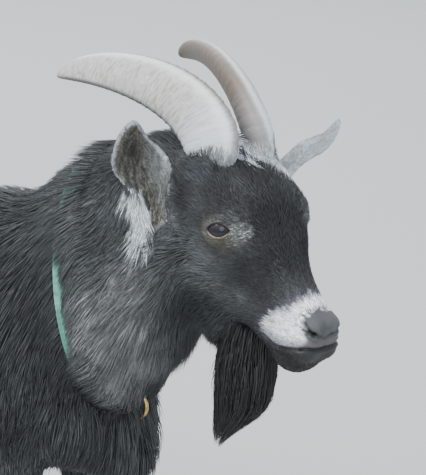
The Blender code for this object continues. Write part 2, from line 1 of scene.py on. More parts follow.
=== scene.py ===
"""A life-size dwarf goat in a long black coat, standing with its head turned to its right."""

import logging
import math
from dataclasses import dataclass
from enum import Enum

import bmesh
import bpy
import numpy as np
from mathutils import Matrix, Vector
from mathutils.bvhtree import BVHTree
from mathutils.kdtree import KDTree


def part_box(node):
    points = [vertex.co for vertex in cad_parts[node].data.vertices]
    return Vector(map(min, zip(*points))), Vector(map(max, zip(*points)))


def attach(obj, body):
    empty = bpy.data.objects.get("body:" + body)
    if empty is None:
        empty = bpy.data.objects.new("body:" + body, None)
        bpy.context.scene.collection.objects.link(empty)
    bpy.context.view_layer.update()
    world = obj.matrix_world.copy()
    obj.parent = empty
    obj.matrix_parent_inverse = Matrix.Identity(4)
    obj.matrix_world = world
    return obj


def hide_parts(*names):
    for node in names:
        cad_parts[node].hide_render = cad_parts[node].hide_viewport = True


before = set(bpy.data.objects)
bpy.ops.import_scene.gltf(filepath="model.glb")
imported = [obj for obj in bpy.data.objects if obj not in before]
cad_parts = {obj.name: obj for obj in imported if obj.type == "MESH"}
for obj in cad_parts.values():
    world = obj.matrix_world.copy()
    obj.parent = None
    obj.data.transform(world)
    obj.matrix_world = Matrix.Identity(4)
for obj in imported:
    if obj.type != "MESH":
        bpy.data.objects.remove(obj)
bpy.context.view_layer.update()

logging.basicConfig(level=logging.INFO, format="%(message)s")
LOG = logging.getLogger("goat")

Array = np.ndarray
Pair = tuple[float, float]
Triple = tuple[float, float, float]
Object = bpy.types.Object
Mesh = bpy.types.Mesh
Material = bpy.types.Material
Socket = bpy.types.NodeSocket
BMesh = bmesh.types.BMesh
Chance = np.random.Generator

CM = 0.01
MM = 0.001
BODY = "root"
UV_NAME = "OFBake"
COLOUR = "coat_colour"
BARE = "bare"
MOST_TRIANGLES = 190_000

HEAD_TURN = math.radians(-28)
HEAD_PITCH = math.radians(28)
CAD_EYE_HEIGHT = 0.9  # cm above the head frame's origin
SIDES = {"right": -1.0, "left": 1.0}


# --- vectors and frames ---
def unit(vectors: Array) -> Array:
    """Each row scaled to a length of one."""
    return vectors / np.maximum(np.linalg.norm(vectors, axis=-1, keepdims=True), 1e-12)


def spans(vectors: Array) -> Array:
    """The length of each row."""
    return np.linalg.norm(vectors, axis=-1)


def dot(one: Array, other: Array) -> Array:
    """Row by row dot products, kept as a column."""
    return np.sum(one * other, axis=-1, keepdims=True)


def ease(value: Array, low: float, high: float) -> Array:
    """A soft ramp from 0 at low to 1 at high."""
    share = np.clip((value - low) / (high - low), 0.0, 1.0)
    return share * share * (3 - 2 * share)


@dataclass(frozen=True)
class Frame:
    """A frame of its own for a part of the body, with points in centimetres."""

    origin: Array
    axes: Array

    @staticmethod
    def of_head() -> "Frame":
        """The head's frame: X from the eyes to the nostrils, Y to its left, Z to the forehead.

        Returns:
            The frame, found from the two eyes of the fixed model.
        """
        middle = np.zeros(3)
        for side in SIDES:
            low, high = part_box(f"eye_{side}")
            middle += np.array((low + high) / 2) / 2
        turn = Matrix.Rotation(HEAD_TURN, 3, "Z") @ Matrix.Rotation(HEAD_PITCH, 3, "Y")
        axes = np.array(turn).T
        return Frame(middle - axes[2] * CAD_EYE_HEIGHT * CM, axes)

    def out(self, points: Array) -> Array:
        """Points of this frame, in the goat's frame in metres."""
        return self.origin + np.asarray(points, float) @ self.axes * CM

    def turned(self, directions: Array) -> Array:
        """Directions of this frame, in the goat's frame."""
        return np.asarray(directions, float) @ self.axes

    def into(self, points: Array) -> Array:
        """Points of the goat's frame, in this frame in centimetres."""
        return (points - self.origin) @ self.axes.T / CM

    def matrix(self) -> Matrix:
        """The matrix that takes this frame's points to the goat's frame."""
        return Matrix.Translation(Vector(self.origin)) @ Matrix((self.axes.T * CM).tolist()).to_4x4()


HEAD = Frame.of_head()


def mirrored(point: Triple, side: float) -> Array:
    """A point given for the left, on the side of this sign."""
    return np.array((point[0], point[1] * side, point[2]))


def over(colours: Array, mask: Array, colour: Array) -> Array:
    """A colour laid over others where the mask is 1."""
    return colours + (colour - colours) * mask[:, None]


def on_left(points: Array) -> Array:
    """Points of the head's frame, with the right side's mirrored to the left."""
    return np.stack([points[:, 0], np.abs(points[:, 1]), points[:, 2]], axis=1)


def to_line(points: Array, line: tuple[Triple, ...]) -> Array:
    """The distance of each point from a line through several places.

    Args:
        points: The points.
        line: The places that the line runs through.

    Returns:
        The distances.
    """
    best = np.full(len(points), np.inf)
    for start, end in zip(line, line[1:]):
        a, b = np.array(start), np.array(end)
        share = np.clip(((points - a) @ (b - a)) / ((b - a) @ (b - a)), 0, 1)
        best = np.minimum(best, spans(points - a - share[:, None] * (b - a)))
    return best


class Ripple:
    """Smooth noise between about -1 and 1, as a sum of waves in many directions."""

    def __init__(self, size: float, seed: int, waves: int = 12) -> None:
        """Picks the waves.

        Args:
            size: The usual distance between two crests, in metres.
            seed: The number that fixes the waves.
            waves: How many waves are summed.
        """
        chance = np.random.default_rng(seed)
        turns = unit(chance.normal(size=(waves, 3)))
        self.pitch = turns * (2 * math.pi / size) * chance.uniform(0.6, 1.6, (waves, 1))
        self.phase = chance.uniform(0, 2 * math.pi, waves)

    def at(self, points: Array) -> Array:
        """The noise at each point."""
        waves = np.sin(points @ self.pitch.T + self.phase).sum(axis=1)
        return waves * math.sqrt(2.0 / len(self.phase)) * 0.6


# --- meshes ---
def show(name: str, mesh: Mesh) -> Object:
    """A new object with this mesh in the scene.

    Args:
        name: The object's name.
        mesh: Its mesh.

    Returns:
        The object.
    """
    made = bpy.data.objects.new(name, mesh)
    bpy.context.scene.collection.objects.link(made)
    return made


def ended(bm: BMesh, name: str) -> Mesh:
    """Ends a bmesh as a mesh of this name.

    Args:
        bm: The shape, which is freed.
        name: The mesh's name.

    Returns:
        The mesh.
    """
    mesh = bpy.data.meshes.new(name)
    bm.to_mesh(mesh)
    bm.free()
    return mesh


def closed(bm: BMesh, name: str) -> Object:
    """Ends a bmesh as a smooth object whose faces point outwards.

    Args:
        bm: The shape, in metres.
        name: The object's name.

    Returns:
        The object.
    """
    bmesh.ops.remove_doubles(bm, verts=bm.verts, dist=1e-6)
    bmesh.ops.recalc_face_normals(bm, faces=bm.faces)
    mesh = ended(bm, name)
    mesh.shade_smooth()
    return show(name, mesh)


def dressed(obj: Object, finish: Material, slot: str, *nodes: str) -> None:
    """Gives a piece its material and body.

    Args:
        obj: The piece.
        finish: Its material.
        slot: The name of a material slot; not used.
        *nodes: The nodes of the fixed model that it stands for.
    """
    obj.data.materials.append(finish)
    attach(obj, BODY)
    if nodes:
        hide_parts(*nodes)


def add_loop(bm: BMesh, points: Array) -> list[bmesh.types.BMEdge]:
    """Adds a closed loop of edges through these points.

    Args:
        bm: The mesh that it joins.
        points: The points, in order.

    Returns:
        The loop's edges.
    """
    made = bmesh.ops.create_circle(bm, radius=1.0, segments=len(points))["verts"]
    for vertex, point in zip(made, points):
        vertex.co = point
    return list(dict.fromkeys(edge for vertex in made for edge in vertex.link_edges))


def rounded(bm: BMesh, least: float, offset: float, clamp: bool) -> None:
    """Rounds the sharp edges of a bmesh.

    Args:
        bm: The shape.
        least: The angle in degrees that counts as sharp.
        offset: The width of the rounding.
        clamp: Whether roundings may not overlap.
    """
    bmesh.ops.dissolve_limit(bm, angle_limit=math.radians(1), verts=bm.verts, edges=bm.edges)
    sharp = [edge for edge in bm.edges if edge.calc_face_angle(0.0) > math.radians(least)]
    settings = {"affect": "EDGES", "segments": 3, "profile": 0.5, "material": -1, "clamp_overlap": clamp}
    bmesh.ops.bevel(bm, geom=sharp, offset=offset, **settings)


def changed(obj: Object, kind: str, **settings: object) -> None:
    """Adds a modifier to an object and applies it at once.

    Args:
        obj: The object.
        kind: The modifier's type.
        **settings: The modifier's own settings.
    """
    modifier = obj.modifiers.new(kind.title(), kind)
    for key, value in settings.items():
        setattr(modifier, key, value)
    ready = obj.evaluated_get(bpy.context.evaluated_depsgraph_get())
    mesh = bpy.data.meshes.new_from_object(ready)
    obj.modifiers.clear()
    old = obj.data
    obj.data = mesh
    bpy.data.meshes.remove(old)


def read(items: bpy.types.bpy_prop_collection, name: str, width: int, kind: type = float) -> Array:
    """One property of all of a mesh's items.

    Args:
        items: The vertices, edges, triangles or stored values.
        name: The property's name.
        width: How many numbers each item has.
        kind: The numbers' type.

    Returns:
        One row for each item.
    """
    found = np.empty(len(items) * width, kind)
    items.foreach_get(name, found)
    return found.reshape(-1, width)


def points_of(mesh: Mesh) -> Array:
    """The places of a mesh's vertices."""
    return read(mesh.vertices, "co", 3)


def place_points(mesh: Mesh, points: Array) -> None:
    """Moves a mesh's vertices to these places."""
    mesh.vertices.foreach_set("co", points.ravel())
    mesh.update()


def normals_of(mesh: Mesh) -> Array:
    """The smooth normals at a mesh's vertices."""
    return read(mesh.vertex_normals, "vector", 3)


def triangles_of(mesh: Mesh) -> Array:
    """The corners of a mesh's triangles."""
    mesh.calc_loop_triangles()
    return read(mesh.loop_triangles, "vertices", 3, np.int32)


def edges_of(mesh: Mesh) -> Array:
    """The ends of a mesh's edges."""
    return read(mesh.edges, "vertices", 2, np.int32)


def relaxed(points: Array, edges: Array, amount: Array | float, rounds: int) -> Array:
    """Points drawn towards the middle of their neighbours.

    Args:
        points: The vertices' places.
        edges: The edges' ends.
        amount: How far each goes, from 0 to 1.
        rounds: How often this is done.

    Returns:
        The new places.
    """
    count = len(points)
    links = np.bincount(edges.ravel(), minlength=count)[:, None]
    weight = amount[:, None] if isinstance(amount, np.ndarray) else amount
    for _ in range(rounds):
        total = np.empty_like(points)
        for axis in range(points.shape[1]):
            total[:, axis] = np.bincount(edges[:, 0], points[edges[:, 1], axis], count)
            total[:, axis] += np.bincount(edges[:, 1], points[edges[:, 0], axis], count)
        points = points + (total / np.maximum(links, 1) - points) * weight
    return points


class Stored(Enum):
    """The kinds of value that a vertex can store, with the name of each one's property."""

    FLOAT = "value"
    FLOAT_VECTOR = "vector"
    FLOAT_COLOR = "color"


def write(mesh: Mesh, name: str, kind: Stored, values: Array) -> None:
    """Stores a value at each vertex of a mesh."""
    mesh.attributes.new(name, kind.name, "POINT").data.foreach_set(kind.value, values.ravel())


def write_colour(mesh: Mesh, colours: Array) -> None:
    """Stores the coat's colour at each vertex of a mesh."""
    write(mesh, COLOUR, Stored.FLOAT_COLOR, np.hstack([colours, np.ones((len(colours), 1))]))


def write_uv(mesh: Mesh, uv: Array) -> None:
    """Stores the map's place of each corner of a mesh's faces."""
    mesh.uv_layers.new(name=UV_NAME).data.foreach_set("uv", uv.ravel())


# --- shader maths ---
class Value:
    """A socket of a material that can be added, multiplied and compared as a number."""

    def __init__(self, tree: "Nodes", socket: Socket) -> None:
        """Wraps a socket.

        Args:
            tree: The material's nodes.
            socket: The output socket.
        """
        self.tree = tree
        self.socket = socket

    def _math(self, operation: str, *others: object) -> "Value":
        """One Math node on this value and others."""
        sockets = dict(enumerate((self, *others)))
        return self.tree.value(self.tree.add("ShaderNodeMath", {"operation": operation}, sockets).outputs[0])

    def __add__(self, other: object) -> "Value":
        """Sum."""
        return self._math("ADD", other)

    __radd__ = __add__

    def __mul__(self, other: object) -> "Value":
        """Product."""
        return self._math("MULTIPLY", other)

    __rmul__ = __mul__

    def __sub__(self, other: object) -> "Value":
        """Difference."""
        return self._math("SUBTRACT", other)

    def __rsub__(self, other: float) -> "Value":
        """Difference the other way round."""
        return (self * -1.0) + other

    def __pow__(self, other: object) -> "Value":
        """Power."""
        return self._math("POWER", other)

    def __abs__(self) -> "Value":
        """Size without its sign."""
        return self._math("ABSOLUTE")

    def sine(self) -> "Value":
        """Sine."""
        return self._math("SINE")

    def most(self, other: object) -> "Value":
        """The larger of two."""
        return self._math("MAXIMUM", other)

    def ramp(self, low: float, high: float) -> "Value":
        """A soft ramp of this value, from 0 at low to 1 at high.

        Args:
            low: Where it is still 0.
            high: From where it is 1.

        Returns:
            The ramp.
        """
        sockets = {"Value": self, "From Min": low, "From Max": high}
        made = self.tree.add("ShaderNodeMapRange", {"interpolation_type": "SMOOTHSTEP"}, sockets)
        return self.tree.value(made.outputs[0])


class Nodes:
    """The nodes of one material, built round a Principled shader."""

    def __init__(self, name: str, **constants: object) -> None:
        """Starts a material.

        Args:
            name: The material's name.
            **constants: Values set on the shader's own sockets, with _ for a space.
        """
        self.material = bpy.data.materials.new(name)
        self.material.use_nodes = True
        self.tree = self.material.node_tree
        self.shader = self.tree.nodes["Principled BSDF"]
        for key, value in constants.items():
            self.shader.inputs[key.replace("_", " ")].default_value = value

    def value(self, socket: Socket) -> Value:
        """Wraps a socket."""
        return Value(self, socket)

    def add(self, kind: str, settings: dict, sockets: dict) -> bpy.types.Node:
        """Adds one node.

        Args:
            kind: The node's type.
            settings: Its properties.
            sockets: The values or links of its inputs.

        Returns:
            The node.
        """
        node = self.tree.nodes.new(kind)
        for key, value in settings.items():
            setattr(node, key, value)
        for key, value in sockets.items():
            self.join(value, node.inputs[key])
        return node

    def join(self, value: object, socket: Socket) -> None:
        """Links a value to an input, or sets it there.

        Args:
            value: A number, a colour, a vector or a socket.
            socket: The input.
        """
        if isinstance(value, Value):
            self.tree.links.new(value.socket, socket)
        elif isinstance(value, Socket):
            self.tree.links.new(value, socket)
        elif isinstance(value, tuple) and len(value) == 3 and socket.type == "RGBA":
            socket.default_value = (*value, 1.0)
        else:
            socket.default_value = value

    def feed(self, name: str, value: object) -> None:
        """Links a value to an input of the shader."""
        self.join(value, self.shader.inputs[name])

    def stored(self, name: str, output: str) -> Value:
        """A number, colour or vector that is stored on the mesh."""
        return self.value(self.add("ShaderNodeAttribute", {"attribute_name": name}, {}).outputs[output])

    def place(self) -> Socket:
        """The object's own coordinates."""
        return self.add("ShaderNodeTexCoord", {}, {}).outputs["Object"]

    def stretched(self, vector: object, scale: Triple, turn: Triple = (0, 0, 0)) -> Socket:
        """A vector scaled along each axis after a turn."""
        sockets = {"Vector": vector, "Scale": scale, "Rotation": turn}
        return self.add("ShaderNodeMapping", {}, sockets).outputs[0]

    def noise(self, vector: object, scale: float, detail: float = 3.0) -> Value:
        """Noise between 0 and 1."""
        sockets = {"Vector": vector, "Scale": scale, "Detail": detail, "Roughness": 0.55}
        return self.value(self.add("ShaderNodeTexNoise", {}, sockets).outputs["Fac"])

    def mix(self, share: object, low: object, high: object) -> Socket:
        """Two colours mixed."""
        sockets = {"Factor": share, 6: low, 7: high}
        return self.add("ShaderNodeMix", {"data_type": "RGBA"}, sockets).outputs[2]

    def darkened(self, share: Value) -> Socket:
        """The colour that is stored on the mesh, darkened by this share."""
        return self.mix(share, self.stored(COLOUR, "Color"), (0, 0, 0))

    def parts(self, vector: object) -> list[Value]:
        """The three numbers of a vector."""
        made = self.add("ShaderNodeSeparateXYZ", {}, {"Vector": vector})
        return [self.value(part) for part in made.outputs]

    def bump(self, height: Value, distance: float, strength: float) -> None:
        """Roughens the surface by a height."""
        sockets = {"Height": height, "Distance": distance, "Strength": strength}
        self.feed("Normal", self.add("ShaderNodeBump", {}, sockets).outputs["Normal"])


# --- finishes ---
@dataclass(frozen=True)
class CoatFinish:
    """Hair: the markings' colour with a soft cool shine."""

    roughness: float = 0.55
    specular: float = 0.40
    grain: float = 420.0

    def made(self) -> Material:
        """Makes the material.

        Returns:
            The material.
        """
        nodes = Nodes("coat", Roughness=self.roughness, Specular_IOR_Level=self.specular)
        grain = nodes.noise(nodes.place(), self.grain, 1.0)
        nodes.feed("Base Color", nodes.darkened(grain.ramp(0.3, 0.75) * 0.25))
        return nodes.material


@dataclass(frozen=True)
class SkinFinish:
    """Skin under the coat, with short hair as bump, and bare leather on nose and lips."""

    roughness: float = 0.55
    hairs: Triple = (260, 900, 900)
    pores: float = 800.0

    def made(self) -> Material:
        """Makes the material.

        Returns:
            The material.
        """
        nodes = Nodes("skin", Specular_IOR_Level=0.4)
        place = nodes.place()
        bare = nodes.stored(BARE, "Fac")
        hairs = nodes.noise(nodes.stretched(place, self.hairs, (0, HEAD_PITCH, HEAD_TURN)), 1.0, 2.0)
        sockets = {"Vector": place, "Scale": self.pores}
        pores = nodes.add("ShaderNodeTexVoronoi", {"feature": "DISTANCE_TO_EDGE"}, sockets)
        cobbles = nodes.value(pores.outputs["Distance"]).ramp(0.0, 0.25)
        nodes.feed("Base Color", nodes.darkened(hairs.ramp(0.35, 0.8) * 0.2))
        nodes.feed("Roughness", self.roughness - bare * 0.13 + (1 - cobbles) * bare * 0.2)
        nodes.bump(hairs * (1 - bare) + cobbles * bare * 0.3, 0.0006, 0.8)
        return nodes.material


@dataclass(frozen=True)
class HornFinish:
    """Horn: warm grey with fine growth rings, browner inside, paler on the keel and with painted shade on
    its underside.
    """

    grey: Triple = (0.40, 0.39, 0.37)
    shadow: Triple = (0.17, 0.155, 0.135)
    brown: Triple = (0.130, 0.100, 0.080)
    pale: Triple = (0.70, 0.71, 0.68)
    bluish: Triple = (0.62, 0.68, 0.73)
    # the dark of the tip, and of the painted shade on the underside
    dark: Triple = (0.06, 0.055, 0.05)

    def made(self) -> Material:
        """Makes the material.

        Returns:
            The material.
        """
        nodes = Nodes("horn", Roughness=0.5, Specular_IOR_Level=0.35)
        facts = ("along", "inner", "keel", "under")
        along, inner, keel, under = (nodes.stored(name, "Fac") for name in facts)
        streak = nodes.noise(nodes.stored("grain", "Vector"), 1.0, 4.0)
        mottle = nodes.noise(nodes.place(), 120.0, 4.0)
        colour = nodes.mix(streak.ramp(0.42, 0.68) * 0.6, self.grey, self.shadow)
        colour = nodes.mix(mottle.ramp(0.5, 0.8) * 0.35, colour, self.pale)
        colour = nodes.mix(inner * 0.95, colour, self.brown)
        colour = nodes.mix(keel * (1 - under) * 0.8, colour, self.pale)
        base = (1 - along.ramp(0.02, 0.24)) * (1 - inner * 0.6)
        colour = nodes.mix(base * 0.55, colour, self.bluish)
        # painted shade: the underside darkened
        colour = nodes.mix(under * 0.75, colour, self.dark)
        colour = nodes.mix(along.ramp(0.9, 1.0) * (0.25 + inner * 0.6), colour, self.dark)
        nodes.feed("Base Color", colour)
        nodes.bump(streak + mottle * 0.4, 0.0008, 0.8)
        return nodes.material


@dataclass(frozen=True)
class HoofFinish:
    """Hoof horn: dark slate with faint bands."""

    dark: Triple = (0.028, 0.027, 0.027)
    light: Triple = (0.11, 0.10, 0.09)

    def made(self) -> Material:
        """Makes the material.

        Returns:
            The material.
        """
        nodes = Nodes("hoof", Roughness=0.42)
        place = nodes.place()
        bands = nodes.noise(nodes.stretched(place, (60, 60, 900)), 1.0, 3.0)
        nodes.feed("Base Color", nodes.mix(bands.ramp(0.35, 0.8), self.dark, self.light))
        nodes.bump(bands, 0.0005, 0.5)
        return nodes.material


@dataclass(frozen=True)
class EyeFinish:
    """A goat's eye: dark brown iris, a level bar of a pupil and a wet cornea."""

    iris: Triple = (0.024, 0.021, 0.020)
    fibre: Triple = (0.024, 0.018, 0.016)
    rim: Triple = (0.018, 0.012, 0.010)
    white: Triple = (0.050, 0.040, 0.036)
    pupil: Triple = (0.010, 0.008, 0.018)
    iris_radius: float = 0.74
    pupil_half: Pair = (0.50, 0.15)
    edge: float = 0.04

    def made(self) -> Material:
        """Makes the material.

        Returns:
            The material.
        """
        shine = {"Roughness": 0.12, "Specular_IOR_Level": 0.0, "Coat_Weight": 0.55, "Coat_Roughness": 0.03}
        nodes = Nodes("eye", **shine)
        gaze = nodes.stored("gaze", "Vector")
        across, up, _ = nodes.parts(gaze)
        radius = (across * across + up * up) ** 0.5
        fibres = nodes.noise(nodes.stretched(gaze, (9, 9, 9)), 3.0, 4.0)
        ring = radius.ramp(self.iris_radius - 0.16, self.iris_radius)
        colour = nodes.mix(fibres.ramp(0.35, 0.7), self.iris, self.fibre)
        colour = nodes.mix(ring, colour, self.rim)
        colour = nodes.mix(radius.ramp(self.iris_radius, self.iris_radius + 0.06), colour, self.white)
        half_long, half_high = self.pupil_half
        wide = (abs(across) - half_long + half_high).most(0.0)
        bar = (wide * wide + up * up) ** 0.5
        outside = bar.ramp(half_high - self.edge, half_high + self.edge)
        nodes.feed("Base Color", nodes.mix(outside, self.pupil, colour))
        return nodes.material


@dataclass(frozen=True)
class LidFinish:
    """The bare rims of the lids, in the colours stored on them."""

    def made(self) -> Material:
        """Makes the material.

        Returns:
            The material.
        """
        nodes = Nodes("lid", Roughness=0.6, Specular_IOR_Level=0.3)
        grain = nodes.noise(nodes.place(), 900.0, 2.0)
        nodes.feed("Base Color", nodes.stored(COLOUR, "Color"))
        nodes.bump(grain, 0.0003, 0.5)
        return nodes.material


@dataclass(frozen=True)
class WebbingFinish:
    """Woven nylon webbing in a faded green."""

    green: Triple = (0.055, 0.20, 0.145)
    worn: Triple = (0.16, 0.36, 0.28)
    ribs: float = 1400.0
    cords: float = 2600.0

    def made(self) -> Material:
        """Makes the material.

        Returns:
            The material.
        """
        nodes = Nodes("collar_webbing", Roughness=0.7)
        along, across, _ = nodes.parts(nodes.stored("weave", "Vector"))
        ribs = (along * self.ribs).sine() * 0.5 + 0.5
        cords = (across * self.cords).sine() * 0.5 + 0.5
        wear = nodes.noise(nodes.place(), 90.0, 4.0)
        nodes.feed("Base Color", nodes.mix(wear.ramp(0.4, 0.7) * 0.7 + ribs * 0.2, self.green, self.worn))
        nodes.bump(ribs * cords, 0.0004, 0.8)
        return nodes.material


@dataclass(frozen=True)
class BrassFinish:
    """Brass fittings, dulled by wear."""

    bright: Triple = (0.62, 0.42, 0.17)
    dull: Triple = (0.33, 0.22, 0.10)

    def made(self) -> Material:
        """Makes the material.

        Returns:
            The material.
        """
        nodes = Nodes("brass", Metallic=1.0)
        wear = nodes.noise(nodes.place(), 260.0, 4.0)
        nodes.feed("Base Color", nodes.mix(wear.ramp(0.35, 0.7), self.bright, self.dull))
        nodes.feed("Roughness", wear.ramp(0.2, 0.9) * 0.25 + 0.22)
        return nodes.material


# --- the lie of the coat ---
class Region(Enum):
    """The parts of the body that wear the coat."""

    HEAD = 0
    NECK = 1
    TRUNK = 2
    TAIL = 3
    LEG = 4
    EAR = 5
    BEARD = 6


FLESH = {
    "head": Region.HEAD,
    "neck": Region.NECK,
    "trunk": Region.TRUNK,
    "tail": Region.TAIL,
    "beard": Region.BEARD,
    **{f"ear_{side}": Region.EAR for side in ("left", "right")},
    **{f"leg_{end}_{side}": Region.LEG for end in ("front", "hind") for side in ("left", "right")},
}


@dataclass(frozen=True)
class Stroke:
    """How the coat lies round one place on the left; the right is its mirror image."""

    at: Triple
    lie: Triple
    length: float  # mm
    depth: float  # mm from the skin to the coat's outside
    width: float  # mm across one tuft
    clump: float  # how far tufts draw together at their tips
    density: float  # tufts to a square centimetre
    sides: tuple[float, ...] = (1.0, -1.0)


HEAD_STROKES = tuple(Stroke(*row) for row in (
    ((11.3, 0, -2), (-1, 0, 0), 2, 0.3, 0.5, 0, 0),
    ((9.3, 0, 0.8), (-1, 0, 0.15), 4, 0.9, 0.6, 0.1, 95),
    ((9.6, 1.8, -1.8), (-0.9, 0.1, -0.3), 4, 0.8, 0.6, 0.1, 95),
    ((8, 2.1, -4), (-0.9, 0.1, -0.45), 4.5, 0.9, 0.6, 0.1, 95),
    ((10, 1.2, -5), (-0.6, 0.1, -0.8), 4, 0.9, 0.6, 0.1, 85),
    ((7, 1.6, -7), (-0.4, 0.1, -0.9), 9, 2, 0.7, 0.2, 60),
    ((6.5, 0, 1.4), (-1, 0, 0.25), 6, 1.4, 0.65, 0.1, 85),
    ((3.5, 0, 2.7), (-1, 0, 0.4), 8, 1.9, 0.7, 0.15, 75),
    ((3, 2.6, 0.5), (-1, 0.25, 0), 7, 1.8, 0.65, 0.1, 80),
    ((5.5, 2.3, -2), (-1, 0.1, -0.25), 7, 1.6, 0.65, 0.1, 80),
    ((1, 0, 4.3), (-0.9, 0, 0.45), 11, 2.6, 0.75, 0.25, 65),
    ((0.5, 2.4, 3.9), (-0.9, 0.3, 0.3), 8, 2.3, 0.7, 0.2, 70),
    ((-2, 0, 5.4), (-1, 0, 0.2), 14, 3.6, 0.85, 0.3, 48),
    ((-2, 2.8, 5), (-1, 0.2, 0.2), 12, 3.3, 0.8, 0.3, 52),
    ((-4.6, 0, 6), (0.8, 0.3, 0), 20, 4.5, 0.8, 0.5, 60),
    ((-3.6, 2, 5.4), (0.6, 0.8, 0.1), 24, 5.5, 0.8, 0.5, 70, (1,)),
    ((-3.2, 3.4, 4.4), (0.5, 0.8, -0.1), 24, 6, 0.8, 0.5, 60, (1,)),
    ((-8, 0, 4.2), (-1, 0, -0.3), 25, 7, 1.1, 0.5, 30),
    ((2, 3.6, -0.6), (-1, 0.3, -0.3), 6, 1.8, 0.65, 0.1, 80),
    ((2.1, 3.4, 2.1), (-0.7, 0.3, -0.4), 3.5, 1.2, 0.6, 0.2, 90),
    ((-0.5, 4.6, -1.5), (-1, 0.1, -0.35), 8, 2.3, 0.7, 0.15, 72),
    ((-3.5, 4.9, 0.8), (-1, 0.05, -0.1), 9, 2.5, 0.75, 0.2, 62),
    ((-2.5, 4.3, 3.8), (-1, 0.1, 0.15), 9, 2.8, 0.75, 0.2, 58),
    ((-6, 4.6, 2.8), (-0.9, 0.1, -0.3), 14, 4, 0.9, 0.3, 45),
    ((3.5, 3, -5), (-0.9, 0.1, -0.5), 9, 2.4, 0.75, 0.15, 62),
    ((0.5, 4.4, -5), (-0.8, 0.1, -0.7), 14, 4, 0.9, 0.25, 46),
    ((-3, 6, -4), (-0.7, 0.2, -0.8), 22, 8, 1, 0.45, 36),
    ((-8.4, 7.2, -2.2), (0.4, 0, -1), 14, 3.5, 0.8, 0.3, 60),
    ((-7.2, 6.6, -2.9), (0.4, 0.1, -1), 15, 4, 0.8, 0.3, 60),
    ((-5.8, 6.9, -3.8), (0.2, 0.1, -1), 17, 5, 0.8, 0.35, 55),
    ((-4.8, 7.1, -5), (-0.1, 0.1, -1), 17, 6, 0.9, 0.4, 50),
    ((1.5, 3.2, -9), (-0.5, 0, -0.9), 26, 6, 0.9, 0.35, 42),
    ((-2.5, 4.5, -9), (-0.5, 0.1, -0.95), 30, 10, 0.95, 0.4, 38),
    ((4.5, 0, -8.2), (0.1, 0, -1), 22, 4, 0.9, 0.4, 45),
    ((0.9, 2.2, -9.8), (-0.15, 0, -1), 26, 8, 0.9, 0.35, 55),
    ((0.6, 0, -11), (-0.1, 0, -1), 28, 12, 0.9, 0.35, 50),
    ((-8, 6.5, -6), (-0.5, 0.1, -0.9), 40, 14, 0.95, 0.45, 34),
    ((-5, 5, -12), (-0.2, 0.05, -1), 44, 15, 0.95, 0.45, 34),
    ((-10, 4, 1.5), (-1, 0.1, -0.45), 30, 10, 1, 0.45, 32),
    ((-2, 0, -13), (0.2, 0, -1), 42, 12, 0.95, 0.45, 34),
))

BODY_STROKES = tuple(Stroke(*row) for row in (
    ((0.15, 0, 0.54), (-1, 0, -0.3), 42, 14, 1.1, 0.45, 25),
    ((0.09, 0, 0.52), (-1, 0, -0.1), 40, 13, 1.3, 0.45, 16),
    ((0.17, 0.09, 0.46), (-0.5, 0, -1), 42, 14, 1, 0.45, 28),
    ((0.12, 0.1, 0.42), (-0.45, 0.05, -1), 42, 13, 1.15, 0.45, 21),
    ((0.12, 0.1, 0.32), (-0.2, 0, -1), 38, 11, 1.2, 0.45, 19),
    ((0.19, 0, 0.33), (-0.05, 0, -1), 50, 16, 1.1, 0.45, 24),
    ((0.19, 0.04, 0.27), (-0.25, 0.05, -1), 48, 13, 1.15, 0.45, 20),
    ((0.14, 0, 0.24), (-0.4, 0, -1), 44, 13, 1.3, 0.5, 17),
    ((-0.1, 0, 0.51), (-1, 0, -0.05), 42, 13, 1.7, 0.5, 11),
    ((-0.08, 0.12, 0.4), (-0.75, 0, -0.75), 45, 13, 1.8, 0.6, 11),
    ((-0.08, 0.11, 0.27), (-0.5, 0, -0.95), 48, 13, 1.8, 0.65, 11),
    ((-0.08, 0, 0.21), (-0.7, 0, -0.7), 40, 11, 1.8, 0.5, 9),
    ((-0.3, 0, 0.5), (-0.95, 0, -0.3), 38, 12, 1.6, 0.5, 12),
    ((-0.28, 0.11, 0.4), (-0.55, 0, -0.9), 40, 11, 1.6, 0.6, 12),
    ((-0.25, 0.09, 0.3), (-0.3, 0, -1), 34, 8, 1.5, 0.5, 14),
    ((-0.35, 0.05, 0.36), (-0.2, 0, -1), 38, 9, 1.5, 0.5, 13),
    ((-0.36, 0, 0.48), (-0.8, 0, 0.45), 34, 8, 1.3, 0.5, 18),
    ((-0.4, 0, 0.45), (-0.9, 0, -0.3), 34, 8, 1.3, 0.5, 18),
    ((0.1, 0.06, 0.24), (-0.15, 0, -1), 24, 5.5, 1.3, 0.45, 18),
    ((0.098, 0.062, 0.14), (-0.1, 0, -1), 12, 3.2, 1, 0.3, 28),
    ((0.095, 0.062, 0.06), (-0.15, 0, -1), 9, 2.6, 0.9, 0.2, 34),
    ((0.1, 0.062, 0.03), (0.1, 0, -1), 7, 2, 0.8, 0.1, 40),
    ((-0.27, 0.066, 0.22), (-0.2, 0, -1), 20, 4.5, 1.2, 0.4, 20),
    ((-0.3, 0.066, 0.13), (-0.1, 0, -1), 11, 3, 1, 0.3, 28),
    ((-0.29, 0.066, 0.06), (-0.1, 0, -1), 9, 2.6, 0.9, 0.2, 34),
    ((-0.28, 0.066, 0.03), (0.1, 0, -1), 7, 2, 0.8, 0.1, 40),
))


def bezier(line: Array, share: Array) -> tuple[Array, Array]:
    """Points on a cubic curve and its directions there.

    Args:
        line: The four control points.
        share: Where on the curve, from 0 to 1.

    Returns:
        The places and the unit directions.
    """
    t = share[:, None]
    s = 1 - t
    place = s**3 * line[0] + 3 * s**2 * t * line[1] + 3 * s * t**2 * line[2] + t**3 * line[3]
    along = s**2 * (line[1] - line[0]) + 2 * s * t * (line[2] - line[1]) + t**2 * (line[3] - line[2])
    return place, unit(along)


